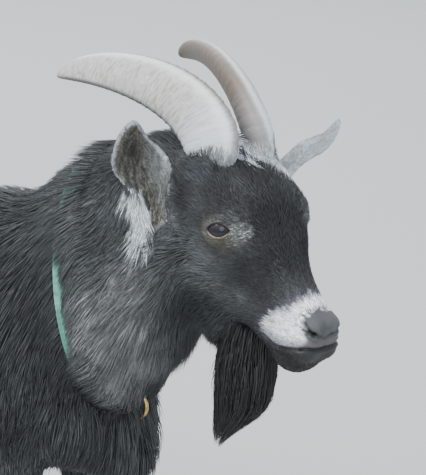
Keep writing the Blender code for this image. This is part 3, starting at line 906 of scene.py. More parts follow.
@dataclass(frozen=True)
class OnEar:
    """Where points lie on an ear."""

    share: Array  # of its length, from the root
    along: Array  # direction towards the tip
    opens: Array  # direction that the ear opens in
    way: Array  # direction towards its front edge
    away: Array  # from its midline to the point
    aside: Array  # distance towards the front edge
    ahead: Array  # distance in front of the midline
    change: Array  # factor of its width


@dataclass(frozen=True)
class EarPose:
    """How an ear is carried, in the head's frame: its midline, and the way that it opens."""

    line: tuple[Triple, Triple, Triple, Triple]
    opens: Triple
    sign: float
    shaped: float  # how far its outline is drawn in
    raised: float  # cm that its middle is lifted

    def at(self, points: Array) -> OnEar:
        """Where points of the head's frame lie on the ear.

        Args:
            points: The points, in centimetres.

        Returns:
            Their places on the ear.
        """
        shares = np.linspace(0, 1, 33)
        places, ways = bezier(np.array(self.line), shares)
        nearest = np.argmin(((points[:, None, :] - places[None]) ** 2).sum(axis=2), axis=1)
        share, along = shares[nearest], ways[nearest]
        opens = unit(np.array(self.opens) - along * dot(along, np.array(self.opens)[None]))
        way = unit(np.cross(along, opens)) * -self.sign
        away = points - places[nearest]
        aside, ahead = dot(away, way)[:, 0], dot(away, opens)[:, 0]
        fore, rear = (np.interp(share, EAR_SHARES, widths) for widths in (EAR_FORE, EAR_REAR))
        change = 1 + (np.where(aside > 0, fore, rear) - 1) * self.shaped
        return OnEar(share, along, opens, way, away, aside, ahead, change)

    def outlined(self, points: Array) -> Array:
        """Points of the ear, drawn in to its outline and lifted.

        Args:
            points: Points of the head's frame, in centimetres.

        Returns:
            The new places.
        """
        on = self.at(points)
        fall = 1 - 0.6 * ease(on.share, 0.5, 0.8) + 0.2 * ease(on.share, 0.85, 1.0)
        lift = self.raised * ease(on.share, 0.1, 0.4) * fall
        return points + on.way * (on.aside * (on.change - 1))[:, None] + lift[:, None] * (0, 0, 1)

    def before(self, points: Array, reach: float = 2.8) -> Array:
        """Whether points lie in front of the ear's opening.

        Args:
            points: Points of the head's frame, in centimetres.
            reach: How far in front counts.

        Returns:
            Whether each does.
        """
        on = self.at(points)
        inside = (np.abs(on.aside) < 0.95 * on.change * np.interp(on.share, *EAR_HALF)) & (on.share > 0.06)
        level = np.abs(dot(on.away, on.along)[:, 0]) < 0.5
        return inside & level & (on.ahead > -1.5) & (on.ahead < reach)


# How each half of an ear is drawn in from its root to its tip, and its half width in centimetres.
EAR_SHARES = (0.0, 0.15, 0.32, 0.5, 0.62, 0.72, 0.87, 1.0)
EAR_FORE = (0.8, 0.85, 1.0, 1.08, 0.92, 0.62, 0.60, 0.70)
EAR_REAR = (0.4, 0.3, 0.6, 0.93, 0.95, 0.87, 0.80, 0.80)
EAR_HALF = ((0.0, 0.2, 0.45, 0.8, 1.0), (0.7, 1.5, 2.4, 2.0, 0.5))
EARS = {
    "right": EarPose(
        line=((-7.3, -4.4, -3.7), (-8.0, -6.1, -1.1), (-8.9, -7.7, 2.7), (-9.5, -8.0, 5.3)),
        opens=(0.90, -0.40, 0.10),
        sign=-1.0,
        shaped=1.0,
        raised=0.0,
    ),
    "left": EarPose(
        line=((-7.3, 4.2, -3.4), (-7.4, 8.6, -1.4), (-6.6, 13.5, -1.7), (-8.5, 13.9, 2.0)),
        opens=(0.93, 0.10, -0.30),
        sign=1.0,
        shaped=0.0,
        raised=1.6,
    ),
}


@dataclass
class Lie:
    """The coat's direction and sizes at many places, in metres."""

    way: Array
    length: Array
    depth: Array
    width: Array
    clump: Array
    density: Array


class Groom:
    """The lie of the whole coat, blended from its strokes."""

    EAR_SIZES = (5.0, 0.8, 0.6, 0.15, 80.0)
    STEP = 20_000

    def __init__(self) -> None:
        """Gathers the strokes of both sides in the goat's frame."""
        places, ways, sizes = [], [], []
        for strokes, in_head in ((HEAD_STROKES, True), (BODY_STROKES, False)):
            for stroke in strokes:
                for side in stroke.sides if stroke.at[1] else (1.0,):
                    at, way = mirrored(stroke.at, side), mirrored(stroke.lie, side)
                    places.append(HEAD.out(at) if in_head else at)
                    ways.append(unit(HEAD.turned(way) if in_head else way))
                    sizes.append((stroke.length, stroke.depth, stroke.width, stroke.clump, stroke.density))
        self.places = np.array(places)
        self.ways = np.array(ways)
        self.sizes = np.array(sizes)

    def at(self, points: Array, regions: Array) -> Lie:
        """The lie of the coat at many places.

        Args:
            points: The places.
            regions: The region's number at each.

        Returns:
            The directions and sizes.
        """
        way = np.empty_like(points)
        sizes = np.empty((len(points), 5))
        for start in range(0, len(points), self.STEP):
            some = slice(start, start + self.STEP)
            gap = ((points[some, None, :] - self.places[None]) ** 2).sum(axis=2) + 1e-6
            weight = gap**-2.0
            weight /= weight.sum(axis=1, keepdims=True)
            way[some] = weight @ self.ways
            sizes[some] = weight @ self.sizes
        ear = regions == Region.EAR.value
        if ear.any():
            local = HEAD.into(points[ear])
            along = np.empty_like(local)
            for side, pose in EARS.items():
                here = local[:, 1] * SIDES[side] > 0
                along[here] = pose.at(local[here]).along
            way[ear] = HEAD.turned(along)
            sizes[ear] = self.EAR_SIZES
        length, depth, width = sizes[:, :3].T * MM
        return Lie(unit(way), length, depth, width, sizes[:, 3], sizes[:, 4] / CM**2)


# --- markings ---
@dataclass(frozen=True)
class Tint:
    """A soft-edged patch of colour on both sides, in centimetres of the head's frame; some are painted
    sheen.
    """

    at: Triple
    radii: Triple
    colour: Triple
    share: float
    soft: float  # share of the radius over which it fades out
    broken: float = 0.0  # how far locks of hair break it


class Markings:
    """The colours of the coat, the same on the skin and on its hair, with painted sheen, shade and highlight
    among them.
    """

    BLACK = np.array((0.0470, 0.0495, 0.0520))
    BEARD_BLACK = np.array((0.0175, 0.0190, 0.0185))
    WHITE = np.array((0.86, 0.91, 0.95))
    MUZZLE_WHITE = np.array((0.93, 0.97, 0.98))
    PURPLE_GREY = np.array((0.085, 0.078, 0.115))
    NOSE_GREY = np.array((0.062, 0.064, 0.068))
    LIP_GREY = np.array((0.085, 0.078, 0.082))
    CHIN_GREY = np.array((0.0165, 0.0170, 0.0170))
    EYE_FROST = np.array((0.60, 0.61, 0.58))
    EYE_BROWN = np.array((0.105, 0.098, 0.080))
    BROWN_AT = ((0.7, 4.5, 0.8), (1.8, 1.4, 1.5))
    FROST_AT = ((2.1, 3.5, 1.8), (1.1, 1.2, 1.5))
    LEFT_FROST = 0.3
    EAR_INSIDE = np.array((0.105, 0.100, 0.086))
    EAR_RIM = np.array((0.36, 0.39, 0.40))

    TINTS = (
        Tint((-6.3, 6, -7.5), (7, 6.5, 10), (0.082, 0.088, 0.093), 0.95, 0.5, 0.25),
        Tint((-13.2, 9, -7.6), (4, 6, 4.4), (0.064, 0.069, 0.073), 0.95, 0.7),
        Tint((3.2, 0, 2.2), (5.5, 3.4, 3), (0.011, 0.0122, 0.0122), 0.92, 0.5),
        Tint((1.6, 3.6, 0.4), (1.5, 1.1, 1.1), (0.105, 0.098, 0.092), 0.6, 0.8, 0.4),
        Tint((4.6, 2.4, -1), (2.6, 2, 2.6), (0.015, 0.016, 0.0165), 0.7, 0.6),
        Tint((-0.8, 0, 4.8), (2.8, 2.6, 1.2), (0.015, 0.0165, 0.017), 0.9, 0.6),
        # painted sheen on the temple
        Tint((-4.1, 4, 3.1), (1.8, 1.5, 1.4), (0.066, 0.076, 0.085), 0.85, 0.8),
        Tint((-0.9, 3.6, 3.2), (1.7, 1.2, 1.3), (0.02, 0.0215, 0.022), 0.85, 0.7),
        # painted sheen on the cheek
        Tint((0.2, 4.2, -4), (4, 2.4, 3.6), (0.095, 0.102, 0.108), 0.95, 0.7),
        # painted sheen on the rear of the cheek
        Tint((-2.4, 5.2, -2.2), (2.4, 1.8, 2.2), (0.08, 0.087, 0.093), 0.9, 0.7),
        # painted sheen on the front of the cheek
        Tint((4, 2.6, -4.2), (2.4, 2, 2), (0.07, 0.075, 0.08), 0.85, 0.8),
        # painted light on the jaw
        Tint((0.6, 3.4, -8), (3.4, 2.6, 2.6), (0.056, 0.06, 0.062), 0.9, 0.6),
        Tint((-1.8, 4.4, 2.5), (2, 1.6, 1.2), (0.026, 0.028, 0.029), 0.85, 0.7),
        # painted sheen low on the front of the cheek
        Tint((3, 3.2, -5.8), (2.6, 2, 1.8), (0.085, 0.09, 0.094), 0.8, 0.8),
        Tint((-4.4, 5, 0.6), (1.8, 1.6, 1.8), (0.026, 0.028, 0.029), 0.8, 0.7),
        Tint((6.9, 1.2, -7.6), (1, 1.2, 0.8), (0.4, 0.4, 0.41), 0.4, 0.9),
        Tint((-3.6, 8, -7.5), (4, 4, 4.2), (0.27, 0.28, 0.29), 0.9, 0.8, 0.6),
        Tint((-3.2, 8.6, -11.2), (4.6, 4.4, 5.4), (0.32, 0.325, 0.33), 0.95, 0.8, 0.65),
        Tint((-1.2, 5.6, -15.5), (4, 4.4, 5.4), (0.26, 0.265, 0.27), 0.9, 0.8, 0.6),
    )
    BAND_REAR = ((-6.0, -5.0, -3.8, -2.2, -0.8, 0.4, 1.0), (6.6, 6.5, 6.6, 7.3, 8.2, 8.5, 8.2))
    BAND_FRONT = ((-2.3, -1.7, -1.4, -0.9, -0.2, 0.45), (12.4, 11.5, 10.9, 10.2, 9.9, 9.65))
    MOUTH = (
        (6.6, 7.6, 8.4, 9.15, 10.1, 10.7, 11.25, 11.65),
        (-5.3, -5.05, -4.8, -4.4, -3.6, -3.1, -2.68, -2.44),
    )
    UNDER_EAR = ((-8.3, 7.2, -2.2), (-7.4, 6.6, -2.7), (-6.4, 6.7, -3.3), (-5.4, 7, -3.9), (-5, 7.1, -4.2))
    CROWN = ((-6.2, -1.4, 0), (-4.9, -0.5, 0), (-4, 0.6, 0), (-3.1, 1.8, 0), (-2.2, 2.8, 0), (-2.8, 4, 0))

    def __init__(self) -> None:
        """Sets up the noise that breaks the markings' edges."""
        self.ragged = Ripple(0.006, 3)
        self.fine = Ripple(0.0025, 5)
        self.broad = Ripple(0.05, 7)
        self.streak = Ripple(0.011, 11)

    def bare(self, points: Array, regions: Array) -> Array:
        """How bare the skin is at each point: 1 on the nose pad and the lips' edges.

        Args:
            points: The places, in the goat's frame.
            regions: The region's number at each.

        Returns:
            How bare each is, from 0 to 1.
        """
        x, _, z = HEAD.into(points).T
        nose = ease(x - np.interp(z, *self.BAND_FRONT), -0.1, 0.25) * ease(z, -2.6, -2.0)
        lip = (1 - ease(np.abs(z - np.interp(x, *self.MOUTH)), 0.12, 0.3)) * ease(x, 8.5, 10.5)
        front = ease(x, 11.0, 11.7) * ease(z, -3.4, -2.6)
        return np.clip(np.maximum(np.maximum(nose, lip), front), 0, 1) * (regions == Region.HEAD.value)

    def paint(self, points: Array, normals: Array, regions: Array, rim: Array | None = None) -> Array:
        """The coat's colour at many places.

        Args:
            points: The places, in the goat's frame.
            normals: The skin's outward directions there.
            regions: The region's number at each.
            rim: How near each is to an ear's edge, from 0 to 1.

        Returns:
            The linear colours.
        """
        local = HEAD.into(points)
        folded = on_left(local)
        x, _, z = local.T
        ragged, fine, streak = (noise.at(points) for noise in (self.ragged, self.fine, self.streak))
        on_head = regions == Region.HEAD.value
        off_ear = regions != Region.EAR.value
        colours = np.where((regions == Region.BEARD.value)[:, None], self.BEARD_BLACK, self.BLACK)
        for tint in self.TINTS:
            reach = spans((folded - tint.at) / tint.radii) + 0.12 * ragged
            lock = 1 - tint.broken * (1 - ease(streak + 0.3 * ragged, -0.5, 0.8))
            mask = (1 - ease(reach, 1.1 - tint.soft, 1.1)) * tint.share * lock * off_ear
            colours = over(colours, mask, np.array(tint.colour))
        colours = colours * (1 + 0.16 * self.broad.at(points) + 0.10 * ragged)[:, None]

        above = ease(z - np.interp(x, *self.MOUTH), -0.1, 0.15)
        rear = x - np.interp(z, *self.BAND_REAR) + 0.25 * ragged
        front = np.interp(z, *self.BAND_FRONT) - x + 0.15 * ragged
        haze = ease(rear, -0.75, 0.2) * ease(front, -0.2, 0.3) * above * on_head
        colours = over(colours, haze * 0.8, self.PURPLE_GREY)
        band = ease(rear, -0.1, 0.55) * ease(front, -0.1, 0.4) * above * on_head
        blotch = 1 - 0.55 * ease(fine, 0.35, 0.9) - 0.25 * ease(ragged, 0.3, 0.9)
        blotch = blotch * (0.22 + 0.78 * ease(z - np.interp(x, *self.MOUTH), 0.2, 1.5))
        colours = over(colours, band * blotch, self.MUZZLE_WHITE)
        nose = ease(-front, -0.15, 0.25) * ease(z, -1.9, -1.3) * on_head
        colours = over(colours, nose, self.NOSE_GREY)
        lip = ease(-front, -0.5, 0.2) * ease(-z, 1.2, 1.9) * above * on_head
        lip = np.maximum(lip, ease(x, 10.9, 11.5) * ease(-z, 1.3, 1.8) * above * on_head)
        colours = over(colours, lip, self.LIP_GREY)
        chin = (1 - above) * ease(x, 7.2, 8.4) * on_head
        colours = over(colours, chin, self.CHIN_GREY)

        at, radii = self.BROWN_AT
        gap = spans((folded - at) / radii)
        colours = over(colours, (1 - ease(gap, 0.5, 1.25)) * on_head, self.EYE_BROWN)
        at, radii = self.FROST_AT
        gap = spans((folded - at) / radii)
        flecks = ease(fine + 0.4 * ragged, 0.35, 1.0)
        frost = (1 - ease(gap, 0.6, 1.1)) * (0.10 + 0.80 * flecks) * on_head
        frost = frost * np.where(local[:, 1] > 0, self.LEFT_FROST, 1.0)
        colours = over(colours, frost, self.EYE_FROST)

        crown = to_line(local * (1, 1, 0), self.CROWN) + 0.2 * streak
        crown = (1 - ease(crown, 0.75, 1.3)) * on_head * ease(z, 2.6, 3.4)
        colours = over(colours, crown, self.WHITE)

        ear = regions == Region.EAR.value
        if ear.any():
            turned = HEAD.axes @ normals[ear].T
            colours[ear] = self._on_ears(local[ear], turned, colours[ear], fine[ear], streak[ear])
            if rim is not None:
                colours = over(colours, rim * ear * ease(fine, -1.3, 0.3), self.EAR_RIM)
        strip = to_line(folded, self.UNDER_EAR) + 0.12 * ragged + 0.15 * streak
        strip = (1 - ease(strip, 0.5, 0.95)) * (0.9 + 0.1 * fine)
        colours = over(colours, strip, self.WHITE)
        return np.clip(colours, 0.002, 0.95)

    def _on_ears(self, local: Array, normals: Array, colours: Array, fine: Array, streak: Array) -> Array:
        """The ears' colours: grey-brown inside with painted shade in its hollow and a painted highlight on
        its front edge, black behind, the left one paler.

        Args:
            local: The places in the head's frame.
            normals: The outward directions in the head's frame, as columns.
            colours: The colours so far.
            fine: Fine noise there.
            streak: Broader noise there.

        Returns:
            The new colours.
        """
        for side, pose in EARS.items():
            here = local[:, 1] * SIDES[side] > 0
            on = pose.at(local[here])
            share, aside = on.share, on.aside
            inside = ease(dot(normals.T[here], on.opens)[:, 0], -0.15, 0.25)
            streaks = np.sin(7.0 * (5.0 * share - aside) + 2.0 * streak[here]) + 1.2 * fine[here]
            tone = self.EAR_INSIDE * np.exp(0.45 * np.clip(streaks, -1.6, 1.8))[:, None]
            # painted shade: darker in the hollow of the ear's inside
            tone *= 1 - 0.6 * np.exp(-(((share - 0.58) / 0.15) ** 2) - ((aside + 0.3) / 0.8) ** 2)[:, None]
            paler = ease(aside, 0.0, 1.2) * (1 - ease(share, 0.45, 0.75))
            tone = over(tone, 0.38 * paler, self.EAR_RIM)
            # painted highlight: white along the front edge, midway up the ear
            edge = ease(aside / (np.interp(share, *EAR_HALF) * on.change), 0.62, 0.9)
            tone = over(tone, 0.9 * edge * np.exp(-(((share - 0.52) / 0.12) ** 2)), self.WHITE)
            if side == "left":
                tone = tone + (self.WHITE - tone) * 0.72
                inside = np.maximum(inside, 0.5)
            colours[here] = over(colours[here], inside, tone)
        return colours


# --- the skin ---
@dataclass(frozen=True)
class Eye:
    """The place and size of an eye, and the almond that its lids leave open, for the left."""

    at: Triple = (0.0, 3.84, 0.9)
    radius: float = 1.32
    out: Triple = (0.51, 0.74, 0.44)
    long_way: Triple = (0.666, -0.662, 0.343)
    half_long: float = math.radians(39)
    half_high: float = math.radians(23)
    lid: float = 0.17
    left_deeper: float = 0.28

    def axes(self, side: float) -> Array:
        """The eye's own directions on one side: its long way, upwards and outwards.

        Args:
            side: The sign of the side.

        Returns:
            The three unit directions, as rows.
        """
        out = unit(mirrored(self.out, side))
        long_way = mirrored(self.long_way, side)
        long_way = unit(long_way - out * (long_way @ out))
        up = np.cross(out, long_way) * side * -1.0
        return np.stack([long_way, up, out])

    def centre(self, side: float) -> Array:
        """The eyeball's middle on one side."""
        return mirrored(self.at, side) - (0.0, self.left_deeper * max(side, 0.0), 0.0)

    def on_ball(self, side: float, along: Array, up: Array, radius: Array | float) -> Array:
        """Points at these angles from the middle of the opening.

        Args:
            side: The sign of the side.
            along: The angles along the opening.
            up: The angles across it.
            radius: The distance from the eyeball's middle.

        Returns:
            The points, in the head's frame.
        """
        axes = self.axes(side)
        way = axes[2] + np.tan(along)[:, None] * axes[0] + np.tan(up)[:, None] * axes[1]
        return self.centre(side) + unit(way) * (radius if np.isscalar(radius) else radius[:, None])

    def opening(self, points: Array, side: float) -> tuple[Array, Array]:
        """How far points are from the opening's middle, as a share of its edge.

        Args:
            points: Points of the head's frame.
            side: The sign of the side.

        Returns:
            The share, which is 1 on the lids' edge, and the distance from the eyeball's middle.
        """
        away = points - self.centre(side)
        long_way, up, out = (away @ axis for axis in self.axes(side))
        share_along = np.abs(np.arctan2(long_way, np.maximum(out, 1e-6))) / self.half_long
        share_up = np.abs(np.arctan2(up, np.maximum(out, 1e-6))) / self.half_high
        edge = np.where(out > 0, np.sqrt(share_along**2 + share_up**1.7), 9.0)
        return edge, spans(away)


EYE = Eye()


@dataclass(frozen=True)
class Beard:
    """The beard, a broad lock that hangs from the chin and the jaw and ends in a point at the back."""

    heights: tuple[float, ...] = (0.275, 0.282, 0.297, 0.313, 0.330, 0.345, 0.366, 0.392, 0.410)
    forward: tuple[float, ...] = (-0.055, -0.051, -0.041, -0.028, -0.018, -0.015, -0.012, -0.009, -0.004)
    half_length: tuple[float, ...] = (0.003, 0.0085, 0.0155, 0.024, 0.032, 0.034, 0.034, 0.032, 0.026)
    half_width: tuple[float, ...] = (0.002, 0.006, 0.011, 0.017, 0.0225, 0.0235, 0.024, 0.021, 0.016)
    core: float = 0.45
    core_end: float = 0.31
    tufts: int = 3600
    joints: int = 6
    width: float = 0.00095
    lengths: Pair = (0.035, 0.085)

    def on(self, height: Array, angle: Array, share: Array) -> Array:
        """Points in the beard.

        Args:
            height: Their heights above the floor.
            angle: Their angles round the beard's middle.
            share: Their distance from the middle, as a share of the beard's own size.

        Returns:
            The points, in the goat's frame.
        """
        ahead = np.array((math.cos(HEAD_TURN), math.sin(HEAD_TURN), 0.0))
        left = np.array((-ahead[1], ahead[0], 0.0))
        long_way = np.interp(height, self.heights, self.forward)
        long_way = long_way + share * np.cos(angle) * np.interp(height, self.heights, self.half_length)
        across = share * np.sin(angle) * np.interp(height, self.heights, self.half_width)
        points = HEAD.origin * (1, 1, 0) + long_way[:, None] * ahead + across[:, None] * left
        points[:, 2] = height
        return points

    def add_core(self, bm: BMesh) -> None:
        """Adds the slim flesh-side core that the beard's hair hangs from.

        Args:
            bm: The mesh that it joins.
        """
        angles = np.linspace(0, 2 * math.pi, 24, endpoint=False)
        loops = []
        for height in np.linspace(self.heights[-1], self.core_end, 9):
            taper = self.core * min(1.0, 0.35 + (height - self.core_end) / 0.05)
            points = self.on(np.full(len(angles), height), angles, np.full(len(angles), taper))
            loops.append(add_loop(bm, points))
        for high, low in zip(loops, loops[1:]):
            bmesh.ops.bridge_loops(bm, edges=high + low)
        for loop in (loops[0], loops[-1]):
            bmesh.ops.contextual_create(bm, geom=loop)


@dataclass(frozen=True)
class Crease:
    """A groove or hollow along a line, for the left, in centimetres of the head's frame."""

    line: tuple[Triple, ...]
    depth: float
    width: float
    rise: float = 0.0  # height of the swelling beside it


CREASES = (
    Crease(
        ((10.1, 1.5, -0.85), (10.55, 1.55, -1), (11, 1.42, -1.07), (11.36, 1.12, -1.12)),
        0.55,
        0.17,
        0.12,
    ),
    Crease(((6.9, 1.86, -5.2), (7.6, 1.9, -5.05), (8.4, 2, -4.8), (9.15, 2.1, -4.4)), 0.2, 0.15, 0.05),
    Crease(((9.15, 2.1, -4.4), (10.1, 2.3, -3.6), (10.7, 2.2, -3.1), (11.25, 1.9, -2.68)), 0.2, 0.15, 0.05),
    Crease(
        ((11.25, 1.9, -2.68), (11.65, 1.45, -2.42), (11.9, 0.8, -2.38), (11.95, 0, -2.45)),
        0.2,
        0.15,
        0.05,
    ),
    Crease(((11.36, 1.12, -1.12), (11.55, 0.59, -1.31), (11.64, 0, -1.62)), 0.3, 0.13, 0.08),
    Crease(((11.9, 0, -1.6), (11.9, 0, -2.3)), 0.08, 0.14),
)


@dataclass(frozen=True)
class Swelling:
    """A rise or a hollow of the skin, for the left, in centimetres of the head's frame."""

    at: Triple
    radii: Triple
    height: float


SWELLINGS = (
    Swelling((11.3, 0.9, -0.5), (0.8, 0.8, 0.6), 0.12),
    Swelling((12, 0, -0.6), (1, 1.4, 1.2), -0.35),
    Swelling((11.2, 1.3, -2), (0.9, 0.8, 0.5), 0.1),
    Swelling((9.6, 1, -5.8), (2.4, 1.6, 1.3), 0.38),
    Swelling((11.3, 0.9, -0.2), (1, 1.1, 0.8), 0.2),
    Swelling((10.6, 1.2, -3), (1.6, 1.4, 1), 0.16),
    Swelling((0.2, 4.4, 3), (2, 1.2, 0.8), 0.08),
    Swelling((4.4, 1.5, 2.2), (2.3, 1.3, 1.2), 0.4),
    Swelling((1.9, 3.6, 1.9), (0.9, 0.9, 1.1), 0.06),
    Swelling((3.5, 2.3, 1.4), (1.7, 1.2, 1.2), 0.28),
    Swelling((3.2, 3.2, -0.6), (1.8, 1.2, 0.9), -0.12),
)


def fused(bm: BMesh, name: str, voxel: float) -> Object:
    """Overlapping shapes made into one closed surface.

    Args:
        bm: The shapes.
        name: The object's name.
        voxel: The size of the new faces.

    Returns:
        The new object.
    """
    made = show(name, ended(bm, name))
    changed(made, "REMESH", mode="VOXEL", voxel_size=voxel, adaptivity=0.0)
    return made


def node_copy(node: str, grow: float) -> Mesh:
    """A merged copy of a node of the fixed model, a little swollen.

    Args:
        node: The node's name.
        grow: How far it swells.

    Returns:
        The copy.
    """
    part = bmesh.new()
    part.from_mesh(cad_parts[node].data)
    bmesh.ops.remove_doubles(part, verts=part.verts, dist=1e-6)
    part.normal_update()
    for vertex in part.verts:
        vertex.co += vertex.normal * grow
    return ended(part, node)


def add_mesh(bm: BMesh, mesh: Mesh) -> None:
    """Adds a mesh to a bmesh and deletes it."""
    bm.from_mesh(mesh)
    bpy.data.meshes.remove(mesh)


def add_ball(bm: BMesh, at: Array, radii: Triple | float, base: Matrix | None = None) -> None:
    """Adds a ball in the head's frame, with its sizes in centimetres, or in another frame.

    Args:
        bm: The mesh that it joins.
        at: Its middle.
        radii: Its radius, or its radii along the frame's axes.
        base: The other frame.
    """
    radii = (radii,) * 3 if isinstance(radii, float) else radii
    place = (base or HEAD.matrix()) @ Matrix.Translation(Vector(at)) @ Matrix.Diagonal((*radii, 1.0))
    bmesh.ops.create_icosphere(bm, subdivisions=4, radius=1.0, matrix=place)


class Skin:
    """The one skin under the whole coat."""

    JOIN = 0.0006
    COARSE = 0.004
    FINE = 0.0022
    KEPT = 0.33  # share of the faces that stay after thinning out
    HORN_PLUGS = ((-5.3, 2.3, 3.4), 2.1)
    EAR_PLUGS = ((-7.3, 4.0, -3.4), 1.4)
    JAW = ((0.4, 0.0, -8.6), (3.0, 2.4, 2.9))
    BREAST = ((0.163, 0.0, 0.285), (0.030, 0.070, 0.026))

    def __init__(self, groom: Groom, markings: Markings) -> None:
        """Builds the skin.

        Args:
            groom: The lie of the coat, for its depth.
            markings: The coat's colours.
        """
        self.groom = groom
        self.markings = markings
        self.region_tree, self.region_faces = self._region_tree()
        bulk = self._bulk()
        self._draw_in(bulk)
        self.obj = self._with_ears(bulk)
        self._thin_out()
        self._refine()
        self._sculpt()
        self._finish()

    @staticmethod
    def _region_tree() -> tuple[BVHTree, Array]:
        """A search tree over the fixed model's flesh, and the region of each of its faces.

        Returns:
            The tree, and the region's number of each face.
        """
        points, triangles, regions = [], [], []
        count = 0
        for node, region in FLESH.items():
            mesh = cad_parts[node].data
            points.append(points_of(mesh))
            found = triangles_of(mesh)
            triangles.append(found + count)
            regions.append(np.full(len(found), region.value))
            count += len(points[-1])
        tree = BVHTree.FromPolygons(np.vstack(points).tolist(), np.vstack(triangles).tolist())
        return tree, np.concatenate(regions)

    def regions(self, points: Array) -> Array:
        """The number of the region nearest to each point."""
        find = self.region_tree.find_nearest
        return self.region_faces[[find(point)[2] for point in points.tolist()]]

    def _bulk(self) -> Object:
        """The body without its ears, with the sockets of eyes, horns and collar filled.

        Returns:
            The new object.
        """
        bm = bmesh.new()
        for node, region in FLESH.items():
            if region not in (Region.EAR, Region.BEARD):
                add_mesh(bm, node_copy(node, self.JOIN))
        add_mesh(bm, node_copy("collar", self.JOIN))
        at, radius = self.HORN_PLUGS
        at_ear, ear_radius = self.EAR_PLUGS
        for side in SIDES.values():
            add_ball(bm, mirrored(at, side), radius)
            add_ball(bm, EYE.centre(side), EYE.radius)
            add_ball(bm, mirrored(at_ear, side), ear_radius)
        add_ball(bm, *self.BREAST, base=Matrix())
        return fused(bm, "bulk", self.COARSE)

    def _draw_in(self, obj: Object) -> None:
        """Draws the surface in by the coat's depth.

        Args:
            obj: The body without its ears.
        """
        mesh = obj.data
        points, edges = points_of(mesh), edges_of(mesh)
        regions = self.regions(points)
        regions[regions == Region.EAR.value] = Region.HEAD.value
        depth = self.groom.at(points, regions).depth
        depth = relaxed(depth[:, None], edges, 0.6, 6)[:, 0]
        points = relaxed(points, edges, 0.5, 3)
        steps = 6
        for _ in range(steps):
            place_points(mesh, points)
            points = points - normals_of(mesh) * (depth / steps)[:, None]
            points = relaxed(points, edges, np.clip(depth / 0.02, 0.05, 0.5), 2)
        place_points(mesh, self._before_ears(points))

    @staticmethod
    def _before_ears(points: Array) -> Array:
        """The head's points, pressed in where the ears open.

        Args:
            points: The surface's points.

        Returns:
            The new places.
        """
        local = HEAD.into(points)
        for side, pose in EARS.items():
            here = (local[:, 1] * SIDES[side] > 2.5) & (spans(local) < 16)
            near = np.flatnonzero(here)
            on = pose.at(local[near])
            share = 1 - ease(np.abs(on.aside) - on.change * np.interp(on.share, *EAR_HALF), -0.1, 0.8)
            share = share * ease(on.share, 0.02, 0.12) * (1 - ease(on.ahead, 2.2, 3.2))
            push = np.maximum(on.ahead + 0.2 + 1.6 * ease(on.share, 0.22, 0.42), 0)
            local[near] -= on.opens * (push * share)[:, None]
        return HEAD.out(local)

    def _with_ears(self, bulk: Object) -> Object:
        """The bulk joined with the ears, the sockets of the eyes and a core for the beard.

        Args:
            bulk: The body without its ears, which is deleted.

        Returns:
            The new object.
        """
        bm = bmesh.new()
        bm.from_mesh(bulk.data)
        for side, pose in EARS.items():
            ear = node_copy(f"ear_{side}", 0.0)
            place_points(ear, HEAD.out(pose.outlined(HEAD.into(points_of(ear)))))
            add_mesh(bm, ear)
            add_ball(bm, EYE.centre(SIDES[side]), EYE.radius + EYE.lid)
        add_ball(bm, *self.JAW)
        Beard().add_core(bm)
        bpy.data.objects.remove(bulk)
        return fused(bm, "skin", self.FINE)

    def _thin_out(self) -> None:
        """Makes the faces of trunk and legs larger, where the coat hides them."""
        mesh = self.obj.data
        points, edges = points_of(mesh), edges_of(mesh)
        regions = self.regions(points)
        soft = np.where(regions == Region.EAR.value, 0.25, 0.5)
        place_points(mesh, relaxed(points, edges, soft, 5))
        local = HEAD.into(points)
        far = ease(spans(local), 14, 22)
        far[regions == Region.EAR.value] = 0
        group = self.obj.vertex_groups.new(name="plain")
        levels = np.round(far * 10).astype(int)
        for level in range(11):
            members = np.flatnonzero(levels == level)
            group.add(members.tolist(), level / 10, "REPLACE")
        settings = {"vertex_group": "plain", "vertex_group_factor": 1.0, "use_collapse_triangulate": True}
        changed(self.obj, "DECIMATE", ratio=self.KEPT, **settings)
        self.obj.vertex_groups.clear()

    def _refine(self) -> None:
        """Halves the faces of muzzle and orbits, and once more along their creases."""
        for reach in (1.0, 0.35):
            points = HEAD.into(points_of(self.obj.data))
            folded = on_left(points)
            near = np.full(len(points), np.inf)
            for crease in CREASES:
                near = np.minimum(near, to_line(folded, crease.line))
            to_eye = spans(folded - EYE.centre(-1.0) * (1, -1, 1))
            muzzle = (folded[:, 0] > 8.8) & (spans(folded - (10, 0, -2)) < 5.5)
            wanted = (to_eye < EYE.radius + 0.5 + reach * 0.6) | (muzzle & (reach > 0.9)) | (near < reach)
            bm = bmesh.new()
            bm.from_mesh(self.obj.data)
            edges = [e for e in bm.edges if wanted[e.verts[0].index] and wanted[e.verts[1].index]]
            bmesh.ops.subdivide_edges(bm, edges=edges, cuts=1, use_grid_fill=True)
            bmesh.ops.triangulate(bm, faces=[face for face in bm.faces if len(face.verts) > 3])
            bm.to_mesh(self.obj.data)
            bm.free()
            fresh = points_of(self.obj.data)
            local = HEAD.into(fresh)
            on_face = ease(spans(local - (6, 0, -1)), 11.0, 9.0)
            place_points(self.obj.data, relaxed(fresh, edges_of(self.obj.data), on_face * 0.5, 3))

